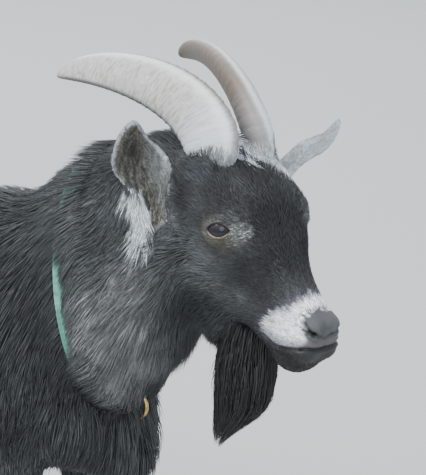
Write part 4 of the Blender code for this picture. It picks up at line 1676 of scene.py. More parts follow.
    def _sculpt(self) -> None:
        """Works the creases, the nose, the lips and the orbits into the skin, and finds the painted shade of
        the deeper creases.
        """
        mesh = self.obj.data
        points, normals = points_of(mesh), normals_of(mesh)
        local = HEAD.into(points)
        turned = normals @ HEAD.axes.T
        folded = on_left(local)
        moved = np.zeros(len(points))
        self.hollow = np.zeros(len(points))
        for swelling in SWELLINGS:
            gap = (((folded - swelling.at) / swelling.radii) ** 2).sum(axis=1)
            moved += swelling.height * np.exp(-gap)
        for crease in CREASES:
            gap = to_line(folded, crease.line)
            moved -= crease.depth * np.exp(-((gap / crease.width) ** 2))
            moved += crease.rise * np.exp(-(((gap - 2.4 * crease.width) / crease.width) ** 2))
            # painted shade: how much the skin is darkened in the deeper creases, kept in self.hollow, which
            # also bares the skin
            shade = np.exp(-((gap / (crease.width * 1.3)) ** 2)) * (crease.depth > 0.1)
            self.hollow = np.maximum(self.hollow, shade)
        local = local + turned * moved[:, None]
        for side in SIDES.values():
            edge, reach = EYE.opening(local, side)
            shell = EYE.radius + EYE.lid - 0.03
            near = (edge < 2.2) & (reach < shell + 0.25) & (reach > 0.6 * EYE.radius)
            want = np.where(edge < 1.05, EYE.radius - 0.25, np.maximum(reach, shell))
            away = local - EYE.centre(side)
            aim = EYE.centre(side) + away * (want / np.maximum(reach, 1e-6))[:, None]
            local = np.where(near[:, None], aim, local)
        place_points(mesh, HEAD.out(local))

    def _cover(self, mesh: Mesh) -> Array:
        """How far the coat's outside is from each vertex, as measured to the fixed model.

        Args:
            mesh: The skin's mesh.

        Returns:
            The depths, in metres.
        """
        depth = self.groom.at(self.points, self.vertex_regions).depth
        found = depth.copy()
        cast = self.region_tree.ray_cast
        for number, (point, way) in enumerate(zip(self.points.tolist(), self.normals.tolist())):
            if depth[number] < 0.003:
                continue
            gap = cast(point, way, 0.05)[3]
            if gap is not None:
                found[number] = gap
        found = np.clip(found, 0.7 * depth, 2.8 * depth)
        return relaxed(found[:, None], edges_of(mesh), 0.7, 8)[:, 0]

    def _finish(self) -> None:
        """Stores regions, colours with painted shade in the deeper creases, bareness and the unwrap."""
        mesh = self.obj.data
        mesh.shade_smooth()
        self.points = points_of(mesh)
        self.triangles = triangles_of(mesh)
        self.normals = normals_of(mesh)
        self.vertex_regions = self.regions(self.points)
        local = HEAD.into(self.points)
        before = EARS["right"].before(local) | EARS["left"].before(local)
        self.vertex_regions[before] = Region.EAR.value
        drawn = relaxed(self.points, edges_of(mesh), 1.0, 1) - self.points
        edge = -dot(drawn, self.normals)[:, 0]
        rim = ease(edge, 0.00018, 0.0004) * (self.vertex_regions == Region.EAR.value)
        self.rim = np.clip(relaxed(rim[:, None], edges_of(mesh), 0.5, 1)[:, 0] * 1.6, 0, 1)
        self.cover = self._cover(mesh)
        self.bare = np.maximum(self.markings.bare(self.points, self.vertex_regions), self.hollow)
        colours = self.markings.paint(self.points, self.normals, self.vertex_regions, self.rim)
        # the colours, with painted shade in the deeper creases of nose and mouth
        write_colour(mesh, colours * (1 - 0.9 * self.hollow)[:, None])
        write(mesh, BARE, Stored.FLOAT, self.bare)
        self.uv = Unwrap(self.points, self.triangles, self.vertex_regions).uv
        write_uv(mesh, self.uv)
        dressed(self.obj, SkinFinish().made(), "coat_black", *FLESH)


class Unwrap:
    """The skin laid flat: one chart for each way that each region faces, side by side in a square."""

    MARGIN = 0.006

    def __init__(self, points: Array, triangles: Array, regions: Array) -> None:
        """Lays the charts out.

        Args:
            points: The skin's vertices.
            triangles: Its triangles.
            regions: The region's number at each vertex.
        """
        corners = points[triangles]
        facing = unit(np.cross(corners[:, 1] - corners[:, 0], corners[:, 2] - corners[:, 0]))
        part = regions[triangles[:, 0]] * 2 + (corners[:, 0, 1] > 0)
        axis = np.argmax(np.abs(facing), axis=1)
        sign = np.take_along_axis(facing, axis[:, None], 1)[:, 0] > 0
        chart = part * 6 + axis * 2 + sign
        self.uv = np.zeros((len(triangles), 3, 2))
        places = []
        for number in np.unique(chart):
            mine = chart == number
            flat = np.delete(corners[mine], axis[mine][0], axis=2)
            low = flat.reshape(-1, 2).min(axis=0)
            self.uv[mine] = flat - low
            size = flat.reshape(-1, 2).max(axis=0) - low
            places.append((size[1], size[0], number))
        places.sort(reverse=True)
        sheet = 1.05
        while not self._lay(chart, places, sheet):
            sheet *= 1.06
        self.uv /= sheet

    def _lay(self, chart: Array, places: list, sheet: float) -> bool:
        """Puts the charts on shelves in a square sheet.

        Args:
            chart: The chart of each triangle.
            places: Each chart's height, width and number, the tallest first.
            sheet: The sheet's side in metres.

        Returns:
            Whether they fit.
        """
        at_x, at_y, shelf, spots = self.MARGIN, self.MARGIN, 0.0, {}
        for high, wide, number in places:
            if at_x + wide + self.MARGIN > sheet:
                at_x, at_y, shelf = self.MARGIN, at_y + shelf + self.MARGIN, 0.0
            spots[number] = (at_x, at_y)
            at_x += wide + self.MARGIN
            shelf = max(shelf, high)
        if at_y + shelf + self.MARGIN > sheet:
            return False
        for number, spot in spots.items():
            self.uv[chart == number] += spot
        return True


# --- the coat ---
@dataclass
class Tufts:
    """Tufts of one batch: the line of each from its root to its tip, and what it looks like."""

    lines: Array  # (count, joints, 3)
    ups: Array  # (count, joints, 3)
    widths: Array  # (count,)
    uv: Array  # (count, 2)
    colours: Array  # (count, 3)
    tips: Array  # (count, 3)

    def taken(self, which: Array) -> "Tufts":
        """Some of the tufts."""
        return Tufts(*(part[which] for part in vars(self).values()))

    def triangles(self) -> int:
        """How many triangles they take."""
        return len(self.lines) * (6 * (self.lines.shape[1] - 1) - 2)


PATCH = 0.003  # side of one tuft's own patch of the map


def hair_mesh(name: str, batches: list[Tufts]) -> Mesh:
    """Closed, tapered, three-sided tufts as one mesh.

    Args:
        name: The mesh's name.
        batches: Tufts with different numbers of joints.

    Returns:
        The mesh, with its colours and its map.
    """
    all_points, all_faces, all_uv, all_colours, first = [], [], [], [], 0
    for tufts in batches:
        count, joints = tufts.lines.shape[:2]
        if not count:
            continue
        along = unit(np.gradient(tufts.lines, axis=1))
        side = unit(np.cross(along, tufts.ups))
        up = np.cross(side, along)
        rings = joints - 1
        share = np.arange(rings) / rings
        half = tufts.widths[:, None, None] * 0.5 * (0.75 + 0.6 * share - 1.15 * share**2)[None, :, None]
        centre = tufts.lines[:, :rings]
        ring = np.stack(
            [
                centre - side[:, :rings] * half - up[:, :rings] * half * 0.25,
                centre + side[:, :rings] * half - up[:, :rings] * half * 0.25,
                centre + up[:, :rings] * half * 0.55,
            ],
            axis=2,
        )
        points = np.concatenate([ring.reshape(count, rings * 3, 3), tufts.lines[:, -1:]], axis=1)
        size = rings * 3 + 1
        faces = [(2, 1, 0)]
        for row in range(rings):
            for a, b in ((0, 1), (1, 2), (2, 0)):
                low_a, low_b = row * 3 + a, row * 3 + b
                if row < rings - 1:
                    faces += [(low_a, low_b, low_b + 3), (low_a, low_b + 3, low_a + 3)]
                else:
                    faces.append((low_a, low_b, rings * 3))
        faces = np.array(faces, np.int32)
        sizes = np.concatenate([np.repeat(share, 3), [1.0]])
        across = np.concatenate([np.tile((0.0, 1.0, 0.5), rings), [0.5]])
        patch = np.stack([across - 0.5, sizes - 0.5], axis=1) * PATCH
        uv = (tufts.uv[:, None, :] + patch[None])[:, faces.ravel()]
        tone = tufts.colours[:, None] + (tufts.tips - tufts.colours)[:, None] * sizes[None, :, None]
        starts = first + np.arange(count)[:, None, None] * size
        all_points.append(points.reshape(-1, 3))
        all_faces.append((faces[None] + starts).reshape(-1, 3))
        all_uv.append(uv.reshape(-1, 2))
        all_colours.append(tone.reshape(-1, 3))
        first += count * size
    points, faces = np.vstack(all_points), np.vstack(all_faces).astype(np.int32)
    mesh = bpy.data.meshes.new(name)
    mesh.vertices.add(len(points))
    mesh.vertices.foreach_set("co", points.ravel())
    mesh.loops.add(len(faces) * 3)
    mesh.loops.foreach_set("vertex_index", faces.ravel())
    mesh.polygons.add(len(faces))
    mesh.polygons.foreach_set("loop_start", np.arange(0, len(faces) * 3, 3, dtype=np.int32))
    mesh.update(calc_edges=True)
    mesh.shade_smooth()
    write_uv(mesh, np.vstack(all_uv))
    write_colour(mesh, np.vstack(all_colours))
    return mesh


@dataclass(frozen=True)
class Growth:
    """One sort of hair on some regions: how many joints it has, and changes to the groom's sizes."""

    name: str
    regions: tuple[Region, ...]
    joints: int
    denser: float = 1.0
    wider: float = 1.0


GROWTHS = (
    Growth("head", (Region.HEAD, Region.BEARD), 3, denser=0.92),
    Growth("neck", (Region.NECK,), 4, denser=0.95),
    Growth("trunk", (Region.TRUNK,), 4, denser=0.46, wider=1.33),
    Growth("legs", (Region.LEG,), 3, denser=0.36, wider=1.45),
    Growth("tail", (Region.TAIL,), 4),
    Growth("ears", (Region.EAR,), 3, denser=0.85),
)


class Coat:
    """The hair all over the skin."""

    ROOT_DEPTH = 0.0004
    BARE_LIMIT = 0.35
    THROAT = (-0.8, 0.0, -11.5)
    THROAT_REACH = 3.4
    SAG = 0.013
    QUICK_SHARE = 0.4
    STRAY = 0.10
    STUB = (0.2, 0.55)  # how steeply a stub stands, and its share of the length
    CUT = 0.3  # share that is left of hair in front of an ear
    TONES = (0.8, 1.15)  # at the root and at the tip
    SKIRT_TUFTS = 1300
    SKIRT_WIDTH = 0.0007

    def __init__(self, skin: Skin, groom: Groom, markings: Markings) -> None:
        """Readies the skin for rooting hair.

        Args:
            skin: The finished skin.
            groom: The lie of the coat.
            markings: The coat's colours.
        """
        self.skin = skin
        self.groom = groom
        self.markings = markings
        self.finish = CoatFinish().made()
        self.tree = BVHTree.FromPolygons(skin.points.tolist(), skin.triangles.tolist())
        self.face_normals = unit(skin.normals[skin.triangles].sum(axis=1))
        self.face_cover = skin.cover[skin.triangles].mean(axis=1)
        self.wander = [Ripple(0.03, 21), Ripple(0.009, 22), Ripple(0.02, 23)]
        corners = skin.points[skin.triangles]
        across = np.cross(corners[:, 1] - corners[:, 0], corners[:, 2] - corners[:, 0])
        self.areas = spans(across) / 2
        self.middles = corners.mean(axis=1)
        self.face_regions = skin.vertex_regions[skin.triangles[:, 0]]
        self.barred = self._barred()

    def _barred(self) -> Array:
        """The share of each face that grows no hair: nose, lips and eyes' openings.

        Returns:
            The shares, from 0 to 1.
        """
        barred = ease(self.skin.bare[self.skin.triangles].mean(axis=1), 0.15, self.BARE_LIMIT)
        local = HEAD.into(self.middles)
        for side in SIDES.values():
            edge, reach = EYE.opening(local, side)
            barred = np.maximum(barred, (edge < 1.18) & (reach < 2.5))
        return barred

    def nearest(self, points: Array) -> tuple[Array, Array, Array]:
        """The skin's nearest place to each point, its outward direction there and the coat's depth.

        Args:
            points: The points.

        Returns:
            The places, the directions and the depths.
        """
        find = self.tree.find_nearest
        places, faces = [], []
        for point in points.tolist():
            place, _, face, _ = find(point)
            places.append(place[:])
            faces.append(face)
        return np.array(places), self.face_normals[faces], self.face_cover[faces]

    def uv_near(self, points: Array) -> Array:
        """The map's place for hair that roots near the skin."""
        return self.skin.uv[[self.tree.find_nearest(point)[2] for point in points.tolist()]].mean(axis=1)

    def roots(self, growth: Growth, chance: Chance) -> tuple[Array, Array]:
        """Picks the faces and the places for the roots of one growth.

        Args:
            growth: The sort of hair.
            chance: The source of random numbers.

        Returns:
            The face and the corner weights of each root.
        """
        mine = np.isin(self.face_regions, [region.value for region in growth.regions])
        density = np.zeros(len(self.areas))
        density[mine] = self.groom.at(self.middles[mine], self.face_regions[mine]).density
        wanted = self.areas * density * (1 - self.barred) * growth.denser
        total = wanted.sum()
        count = int(total)
        marks = (np.arange(count) + chance.uniform(0, 1, count)) * (total / count)
        faces = np.searchsorted(np.cumsum(wanted), marks).clip(0, len(wanted) - 1)
        weights = chance.dirichlet((1.0, 1.0, 1.0), count)
        return faces, weights

    def lines(
        self, roots: Array, ups: Array, ways: Array, sizes: Lie, regions: Array, joints: int
    ) -> tuple[Array, Array]:
        """Combs hair from its roots along the lie of the coat.

        Args:
            roots: Where each hair starts.
            ups: The skin's outward direction there.
            ways: The direction that each sets out in.
            sizes: The coat's lie at the roots.
            regions: The region of each root.
            joints: How many points each line has.

        Returns:
            The lines' points and the outward direction at each.
        """
        lines, normals = [roots - ups * self.ROOT_DEPTH], [ups]
        place, way = roots, ways
        for joint in range(1, joints):
            share = joint / (joints - 1)
            step = sizes.length[:, None] / (joints - 1)
            place, up, cover = self.nearest(place + way * step)
            if joint > 1 or sizes.length.mean() > 0.02:
                way = self.groom.at(place, regions).way * 0.75 + ways * 0.25
            way = unit(way - up * dot(way, up))
            height = (sizes.depth * cover * (1 - (1 - share) ** 1.7))[:, None]
            lines.append(place + up * height)
            normals.append(up)
        lines = np.stack(lines, axis=1)
        lines[:, 1:-1] += 0.3 * (lines[:, 2:] + lines[:, :-2] - 2 * lines[:, 1:-1])
        return lines, np.stack(normals, axis=1)

    @staticmethod
    def clumped(
        lines: Array, roots: Array, clump: Array, chance: Chance, size: int
    ) -> tuple[Array, Array]:
        """Draws hairs together into locks.

        Args:
            lines: The hairs' points.
            roots: Their roots.
            clump: How far each joins its lock, from 0 to 1.
            chance: The source of random numbers.
            size: How many hairs one lock has.

        Returns:
            The new points and the lock of each hair.
        """
        leaders = chance.choice(len(lines), max(1, len(lines) // size), replace=False)
        tree = KDTree(len(leaders))
        for number, leader in enumerate(leaders):
            tree.insert(roots[leader].tolist(), number)
        tree.balance()
        lock = np.array([tree.find(root)[1] for root in roots.tolist()])
        lead = lines[leaders[lock]]
        share = np.linspace(0, 1, lines.shape[1])[None, :, None] ** 1.1
        return lines + (lead - lines) * share * clump[:, None, None], lock

    def grow(self, growth: Growth, seed: int) -> None:
        """Grows one sort of hair and adds its pieces to the scene.

        Args:
            growth: The sort of hair.
            seed: The number that fixes its random choices.
        """
        chance = np.random.default_rng(seed)
        faces, weights = self.roots(growth, chance)
        corners = self.skin.triangles[faces]
        roots = (self.skin.points[corners] * weights[..., None]).sum(axis=1)
        ups = unit((self.skin.normals[corners] * weights[..., None]).sum(axis=1))
        uv = (self.skin.uv[faces] * weights[..., None]).sum(axis=1)
        regions = self.face_regions[faces]
        lie = self.groom.at(roots, regions)
        count = len(roots)
        side = np.cross(ups, lie.way)
        wander = 0.30 * self.wander[0].at(roots) + 0.22 * self.wander[1].at(roots)
        wander = wander * np.clip(lie.length / 0.012, 0.25, 1.0) + chance.normal(0, self.STRAY, count)
        ways = lie.way + side * wander[:, None]
        ways = unit(ways - ups * dot(ways, ups))
        short = np.clip(chance.normal(1.0, 0.22, count), 0.5, 1.6)
        sizes = Lie(
            lie.way,
            lie.length * short,
            chance.uniform(0.2, 1.0, count) ** 0.7 * 1.08,  # share of the coat's depth
            lie.width * chance.uniform(0.75, 1.3, count) * growth.wider,
            lie.clump,
            lie.density,
        )
        lines, normals = self.lines(roots, ups, ways, sizes, regions, growth.joints)
        lines, lock = self.clumped(lines, roots, lie.clump * chance.uniform(0.5, 1.1, count), chance, 14)
        sag = self.SAG * np.exp(-((spans(HEAD.into(roots) - self.THROAT) / self.THROAT_REACH) ** 2))
        parts = np.linspace(0, 1, growth.joints)
        lines[..., 2] -= sag[:, None] * parts**1.5
        steep, share = self.STUB
        stubs = (ways + steep * ups)[:, None] * (share * sizes.length)[:, None, None] * parts[None, :, None]
        stubs = roots[:, None] + stubs
        lines = np.where(self._smooth(lines, sizes.length)[:, None, None], lines, stubs)
        lines = COLLAR.parted(lines, chance)
        kept = self._smooth(lines, sizes.length)
        before = self._before_ears(lines, regions)
        lines[before] = lines[before, :1] + (lines[before] - lines[before, :1]) * self.CUT
        rim = (self.skin.rim[corners] * weights).sum(axis=1)
        colours = self.markings.paint(roots, ups, regions, rim)
        tone = np.exp(chance.normal(0, 0.15, count) + chance.normal(0, 0.12, lock.max() + 1)[lock])[:, None]
        root, tip = (colours * tone * share for share in self.TONES)
        tufts = Tufts(lines, normals, sizes.width, uv, root, tip)
        self.add(growth.name, [tufts.taken(kept)])

    @staticmethod
    def _smooth(lines: Array, lengths: Array) -> Array:
        """Whether each hair runs without a leap or a kink.

        Args:
            lines: The hairs' points.
            lengths: The length that each should have.

        Returns:
            Whether each hair is sound.
        """
        strides = np.diff(lines, axis=1)
        bends = (unit(strides[:, 1:]) * unit(strides[:, :-1])).sum(axis=2).min(axis=1)
        longest = spans(strides).max(axis=1)
        return (longest < 1.9 * lengths / (lines.shape[1] - 1) + 0.002) & (bends > 0.55)

    @staticmethod
    def _before_ears(lines: Array, regions: Array) -> Array:
        """Which hairs of the head and neck pass in front of an ear's opening.

        Args:
            lines: The hairs' points.
            regions: The region of each root.

        Returns:
            Whether each hair does.
        """
        found = np.zeros(len(lines), bool)
        at_head = spans(HEAD.into(lines[:, 0])) < 17
        near = np.flatnonzero(at_head & (regions != Region.EAR.value))
        local = HEAD.into(lines[near])
        for side, pose in EARS.items():
            here = local[:, 0, 1] * SIDES[side] > 0
            for joint in range(lines.shape[1]):
                found[near[here]] |= pose.before(local[here, joint], 4.4)
        return found

    def grow_beard(self, beard: Beard, seed: int) -> None:
        """Hangs the beard's hair and adds it to the scene.

        Args:
            beard: The beard's shape.
            seed: The number that fixes its random choices.
        """
        chance = np.random.default_rng(seed)
        count = beard.tufts
        top = beard.heights[-1] - 0.075 * chance.uniform(0, 1, count) ** 1.3
        length = chance.uniform(*beard.lengths, count)
        low = np.maximum(top - length, beard.heights[0] - 0.004 * chance.uniform(0, 1, count))
        angle = chance.uniform(0, 2 * math.pi, count)
        share = chance.uniform(0.25, 1.0, count) ** 0.6
        joints = []
        for joint in range(beard.joints):
            part = joint / (beard.joints - 1)
            height = top + (low - top) * part
            turn = angle + 0.22 * part * self.wander[1].at(beard.on(top, angle, share))
            spread = share * (0.97 + 0.12 * part * chance.normal(0, 1, count) * (part > 0.6))
            points = beard.on(height, turn, spread)
            joints.append(points + self.wander[2].at(points)[:, None] * (0.001, -0.001, 0.0))
        lines = np.stack(joints, axis=1)
        zero = np.zeros(count * beard.joints)
        middle = beard.on(lines[:, :, 2].ravel(), zero, zero)
        ups = unit((lines.reshape(-1, 3) - middle) + (0, 0, 1e-5)).reshape(lines.shape)
        lines, lock = self.clumped(lines, lines[:, 0], chance.uniform(0.2, 0.8, count), chance, 12)
        uv = self.uv_near(lines[:, 0])
        regions = np.full(count, Region.BEARD.value)
        colours = self.markings.paint(lines[:, 0], ups[:, 0], regions)
        tone = np.exp(chance.normal(0, 0.2, count) + chance.normal(0, 0.2, lock.max() + 1)[lock])[:, None]
        widths = beard.width * chance.uniform(0.7, 1.4, count)
        self.add("beard", [Tufts(lines, ups, widths, uv, colours * tone * 0.8, colours * tone)])

    def grow_skirts(self, horns: "Horns", seed: int) -> None:
        """Lays hair from the crown up over the roots of the horns.

        Args:
            horns: The horns.
            seed: The number that fixes its random choices.
        """
        chance = np.random.default_rng(seed)
        parts = np.linspace(0, 1, 4)
        count = self.SKIRT_TUFTS
        batches = []
        for sign in SIDES.values():
            angle = chance.uniform(0, 2 * math.pi, count)
            front = np.maximum(np.sin(angle), 0)
            start = chance.uniform(-0.06, 0.0, count) - 0.03 * front
            reach = chance.uniform(0.014, 0.042, count)
            turn = chance.normal(0, 0.10, count)
            found = [
                horns.on(sign, start + reach * part, angle + turn * part, 0.03 + 0.05 * part)
                for part in parts
            ]
            lines = np.stack([points for points, _ in found], axis=1)
            ups = np.stack([ways for _, ways in found], axis=1)
            colours = self.markings.paint(lines[:, 0], ups[:, 0], np.full(count, Region.HEAD.value))
            frosted = front * ease(start, -0.075, -0.03)
            colours = colours + (self.markings.WHITE * 0.6 - colours) * frosted[:, None]
            tone = np.exp(chance.normal(0, 0.15, count))[:, None]
            widths = self.SKIRT_WIDTH * chance.uniform(0.7, 1.3, count)
            uv = self.uv_near(lines[:, 0])
            batches.append(Tufts(lines, ups, widths, uv, colours * tone * 0.8, colours * tone * 1.1))
        self.add("horn_roots", batches)

    def add(self, name: str, batches: list[Tufts]) -> None:
        """Adds tufts to the scene in pieces of a limited size.

        Args:
            name: The name of this part of the coat.
            batches: Its tufts.
        """
        total = sum(batch.triangles() for batch in batches)
        pieces = max(2 if total > 20_000 else 1, math.ceil(total / (MOST_TRIANGLES * 0.97)))
        shares = []
        for batch in batches:
            roots = batch.lines[:, 0]
            order = np.argsort(roots[:, 1] if pieces == 2 else roots @ (0.75, 0.66, 0.0))
            shares.append(np.array_split(order, pieces))
        for number in range(pieces):
            piece = f"coat_{name}_{number + 1}"
            mesh = hair_mesh(piece, [batch.taken(share[number]) for batch, share in zip(batches, shares)])
            dressed(show(piece, mesh), self.finish, "coat_black")
            LOG.info("%s: %d triangles", piece, len(mesh.polygons))


# --- eyes ---
class Eyes:
    """The two eyeballs and the lids round them."""

    SEGMENTS = 64
    RINGS = 40
    CORNEA = 0.05
    LID_STEPS = 72
    UPPER = np.array((0.012, 0.011, 0.011))
    LOWER = np.array((0.19, 0.155, 0.12))
    OUTER = np.array((0.015, 0.014, 0.014))

    def build(self) -> None:
        """Builds both eyes."""
        finish, lid_finish = EyeFinish().made(), LidFinish().made()
        for side, sign in SIDES.items():
            dressed(self._ball(side, sign), finish, "eye", f"eye_{side}")
            dressed(self._lids(side, sign), lid_finish, "coat_black")

    def _ball(self, side: str, sign: float) -> Object:
        """An eyeball with its cornea towards the opening.

        Args:
            side: The side's name.
            sign: The side's sign.

        Returns:
            The eyeball.
        """
        axes = EYE.axes(sign)
        bm = bmesh.new()
        bmesh.ops.create_uvsphere(bm, u_segments=self.SEGMENTS, v_segments=self.RINGS, radius=1.0)
        for vertex in bm.verts:
            way = np.array(vertex.co)
            swell = 1 + self.CORNEA * math.exp(-((math.acos(min(1.0, way[2])) / 0.55) ** 2))
            place = EYE.centre(sign) + (way @ axes) * EYE.radius * swell
            vertex.co = HEAD.out(place)
        ball = closed(bm, f"eyeball_{side}")
        back = (HEAD.into(points_of(ball.data)) - EYE.centre(sign)) @ axes.T
        write(ball.data, "gaze", Stored.FLOAT_VECTOR, unit(back))
        return ball

    def _lids(self, side: str, sign: float) -> Object:
        """Both lids of an eye, as one band that rests on the ball and sinks under the coat.

        Args:
            side: The side's name.
            sign: The side's sign.

        Returns:
            The band.
        """
        radius = EYE.radius
        section = (  # degrees outside the opening's edge, distance from the eyeball's middle
            (0.0, radius * 1.045 + 0.005),
            (-0.6, radius * 1.045 + 0.045),
            (0.3, radius + 0.13),
            (2.5, radius + 0.175),
            (6.0, radius + 0.17),
            (9.0, radius + 0.13),
            (14.0, radius + 0.15),
            (20.0, radius + 0.10),
            (24.0, radius - 0.10),
            (8.0, radius + 0.01),
        )
        bm = bmesh.new()
        loops = []
        turn = np.linspace(0, 2 * math.pi, self.LID_STEPS, endpoint=False)
        for degrees, reach in section:
            extra = math.radians(degrees)
            along = (EYE.half_long + extra) * np.cos(turn)
            up = (EYE.half_high + extra) * np.sin(turn) * np.abs(np.sin(turn)) ** 0.2
            loops.append(add_loop(bm, HEAD.out(EYE.on_ball(sign, along, up, reach))))
        for low, high in zip(loops, loops[1:] + loops[:1]):
            bmesh.ops.bridge_loops(bm, edges=low + high)
        lids = closed(bm, f"lids_{side}")
        points = points_of(lids.data)
        edge, reach = EYE.opening(HEAD.into(points), sign)
        away = (HEAD.into(points) - EYE.centre(sign)) @ EYE.axes(sign).T
        upper = ease(away[:, 1], -0.45, 0.05)[:, None]
        rim = self.LOWER + (self.UPPER - self.LOWER) * upper
        out = ease(edge, 1.08, 1.24)[:, None]
        corner = ease(away[:, 0], 0.72, 0.95)[:, None]
        colours = rim + (self.OUTER - rim) * np.maximum(out, corner * 0.85)
        write_colour(lids.data, colours)
        return lids


# --- horns ---
@dataclass(frozen=True)
class Horns:
    """Two scimitar horns that sweep back over the neck."""

    line: tuple[Triple, ...] = ((-5.4, 2.4, 4.4), (-10.7, 2.0, 8.7), (-21.3, 6.7, 2.3), (-22.9, 6.5, -0.9))
    half_depth: float = 2.62
    flatness: float = 0.52
    roll: Pair = (0.49, 1.10)
    root: float = -0.08
    tip: float = 0.985
    sunk: float = 0.07
    rings: int = 170
    segments: int = 44
    ridge: float = 0.07
    ridge_spacing: float = 0.40
    length: float = 26.0

    def build(self) -> None:
        """Builds both horns."""
        finish = HornFinish().made()
        for side, sign in SIDES.items():
            dressed(self._horn(side, sign), finish, "horn", f"horn_{side}")

    def on(self, sign: float, share: Array, angle: Array, lift: float = 0.0) -> tuple[Array, Array]:
        """Points on a horn.

        Args:
            sign: The side's sign.
            share: Their shares of the horn's length.
            angle: Their angles round the horn, from its inner side towards its front.
            lift: Their distance from the surface, in centimetres.

        Returns:
            The points and the outward directions, in the goat's frame.
        """
        place, way = bezier(np.array([mirrored(point, sign) for point in self.line]), share)
        drop = (np.clip(self.sunk - share, 0, 1) / (self.sunk - self.root)) ** 2
        place = place + drop[:, None] * np.array((-0.3, 0.0, -1.3))
        level = unit(np.cross((0.0, 0.0, 1.0), way))
        top = np.cross(way, level)
        roll = ((self.roll[0] + (self.roll[1] - self.roll[0]) * share) * sign)[:, None]
        across = (level * np.cos(roll) - top * np.sin(roll)) * sign
        up = level * np.sin(roll) + top * np.cos(roll)
        depth = self.half_depth * np.sqrt(1 - np.clip(share, 0, 1) ** 1.2) * (1 - 0.3 * drop)
        phase = (share * self.length + 0.35 * np.sin(angle) - 0.15 * np.cos(angle)) / self.ridge_spacing
        wave = 0.6 * np.sin(2 * math.pi * phase + 1.3 * np.sin(phase * 0.9))
        wave = wave + 0.4 * np.sin(2.3 * phase + 2.0)
        fade = np.clip(1 - share / 0.66, 0, 1) ** 0.6
        grow = 1 + (self.ridge * wave * fade + lift) / np.maximum(depth, 0.3)
        sideways = np.cos(angle) * depth * self.flatness * grow
        front = np.copysign(np.abs(np.sin(angle)) ** 1.05, np.sin(angle)) * depth * grow
        away = across * sideways[:, None] + up * front[:, None]
        return HEAD.out(place + away), HEAD.turned(unit(away))

    def _horn(self, side: str, sign: float) -> Object:
        """One horn, bent from a flat sheet.

        Args:
            side: The side's name.
            sign: The side's sign.

        Returns:
            The horn.
        """
        bm = bmesh.new()
        bmesh.ops.create_grid(bm, x_segments=self.segments, y_segments=self.rings, size=0.5)
        flat = np.array([vertex.co for vertex in bm.verts])
        share = self.root + (self.tip - self.root) * (flat[:, 1] + 0.5) ** 0.9
        angle = (flat[:, 0] + 0.5) * 2 * math.pi
        facts = bm.verts.layers.float_vector.new("facts")
        for vertex, point, one, other in zip(bm.verts, self.on(sign, share, angle)[0], share, angle):
            vertex.co = point
            vertex[facts] = (one, math.cos(other), math.sin(other))
        bmesh.ops.remove_doubles(bm, verts=bm.verts, dist=1e-6)
        open_edges = [edge for edge in bm.edges if edge.is_boundary]
        bmesh.ops.holes_fill(bm, edges=open_edges, sides=self.segments + 2)
        horn = closed(bm, f"scimitar_horn_{side}")
        self._facts(horn.data)
        return horn

    @staticmethod
    def _facts(mesh: Mesh) -> None:
        """Stores where each point lies on the horn, for its finish.

        Args:
            mesh: The horn's mesh.
        """
        share, inner, front = read(mesh.attributes["facts"].data, "vector", 3, np.float32).T
        angle = np.degrees(np.arctan2(front, inner))
        write(mesh, "along", Stored.FLOAT, np.clip(share, 0, 1))
        write(mesh, "inner", Stored.FLOAT, ease(np.cos(np.radians(angle - 42)), 0.12, 0.35))
        write(mesh, "keel", Stored.FLOAT, np.exp(-(((angle - 128) / 16) ** 2)))
        # the underside, where the finish paints shade
        write(mesh, "under", Stored.FLOAT, ease(-front, 0.86, 0.97))
        grain = np.stack([inner * 2.2, front * 2.2, share * 88.0 + front * 1.2], axis=1)
        write(mesh, "grain", Stored.FLOAT_VECTOR, grain)


HORNS = Horns()


# --- feet ---
class Feet:
    """Hooves and dewclaws."""

    ROUND = 0.0016
    SHARP = 50

    def build(self) -> None:
        """Dresses every claw in a smooth copy, with the hooves' edges rounded."""
        finish = HoofFinish().made()
        for end in ("front", "hind"):
            for side in SIDES:
                for half in ("outer", "inner"):
                    for kind in ("hoof", "dewclaw"):
                        self._claw(f"{kind}_{end}_{side}_{half}", kind == "hoof", finish)

    def _claw(self, node: str, hoof: bool, finish: Material) -> None:
        """One claw.

        Args:
            node: The name of its node in the fixed model.
            hoof: Whether it is a hoof and not a dewclaw.
            finish: Its material.
        """
        bm = bmesh.new()
        add_mesh(bm, node_copy(node, 0.0))
        bmesh.ops.remove_doubles(bm, verts=bm.verts, dist=1e-5)
        if hoof:
            rounded(bm, self.SHARP, self.ROUND, True)
        dressed(closed(bm, f"horn_{node}"), finish, "hoof", node)


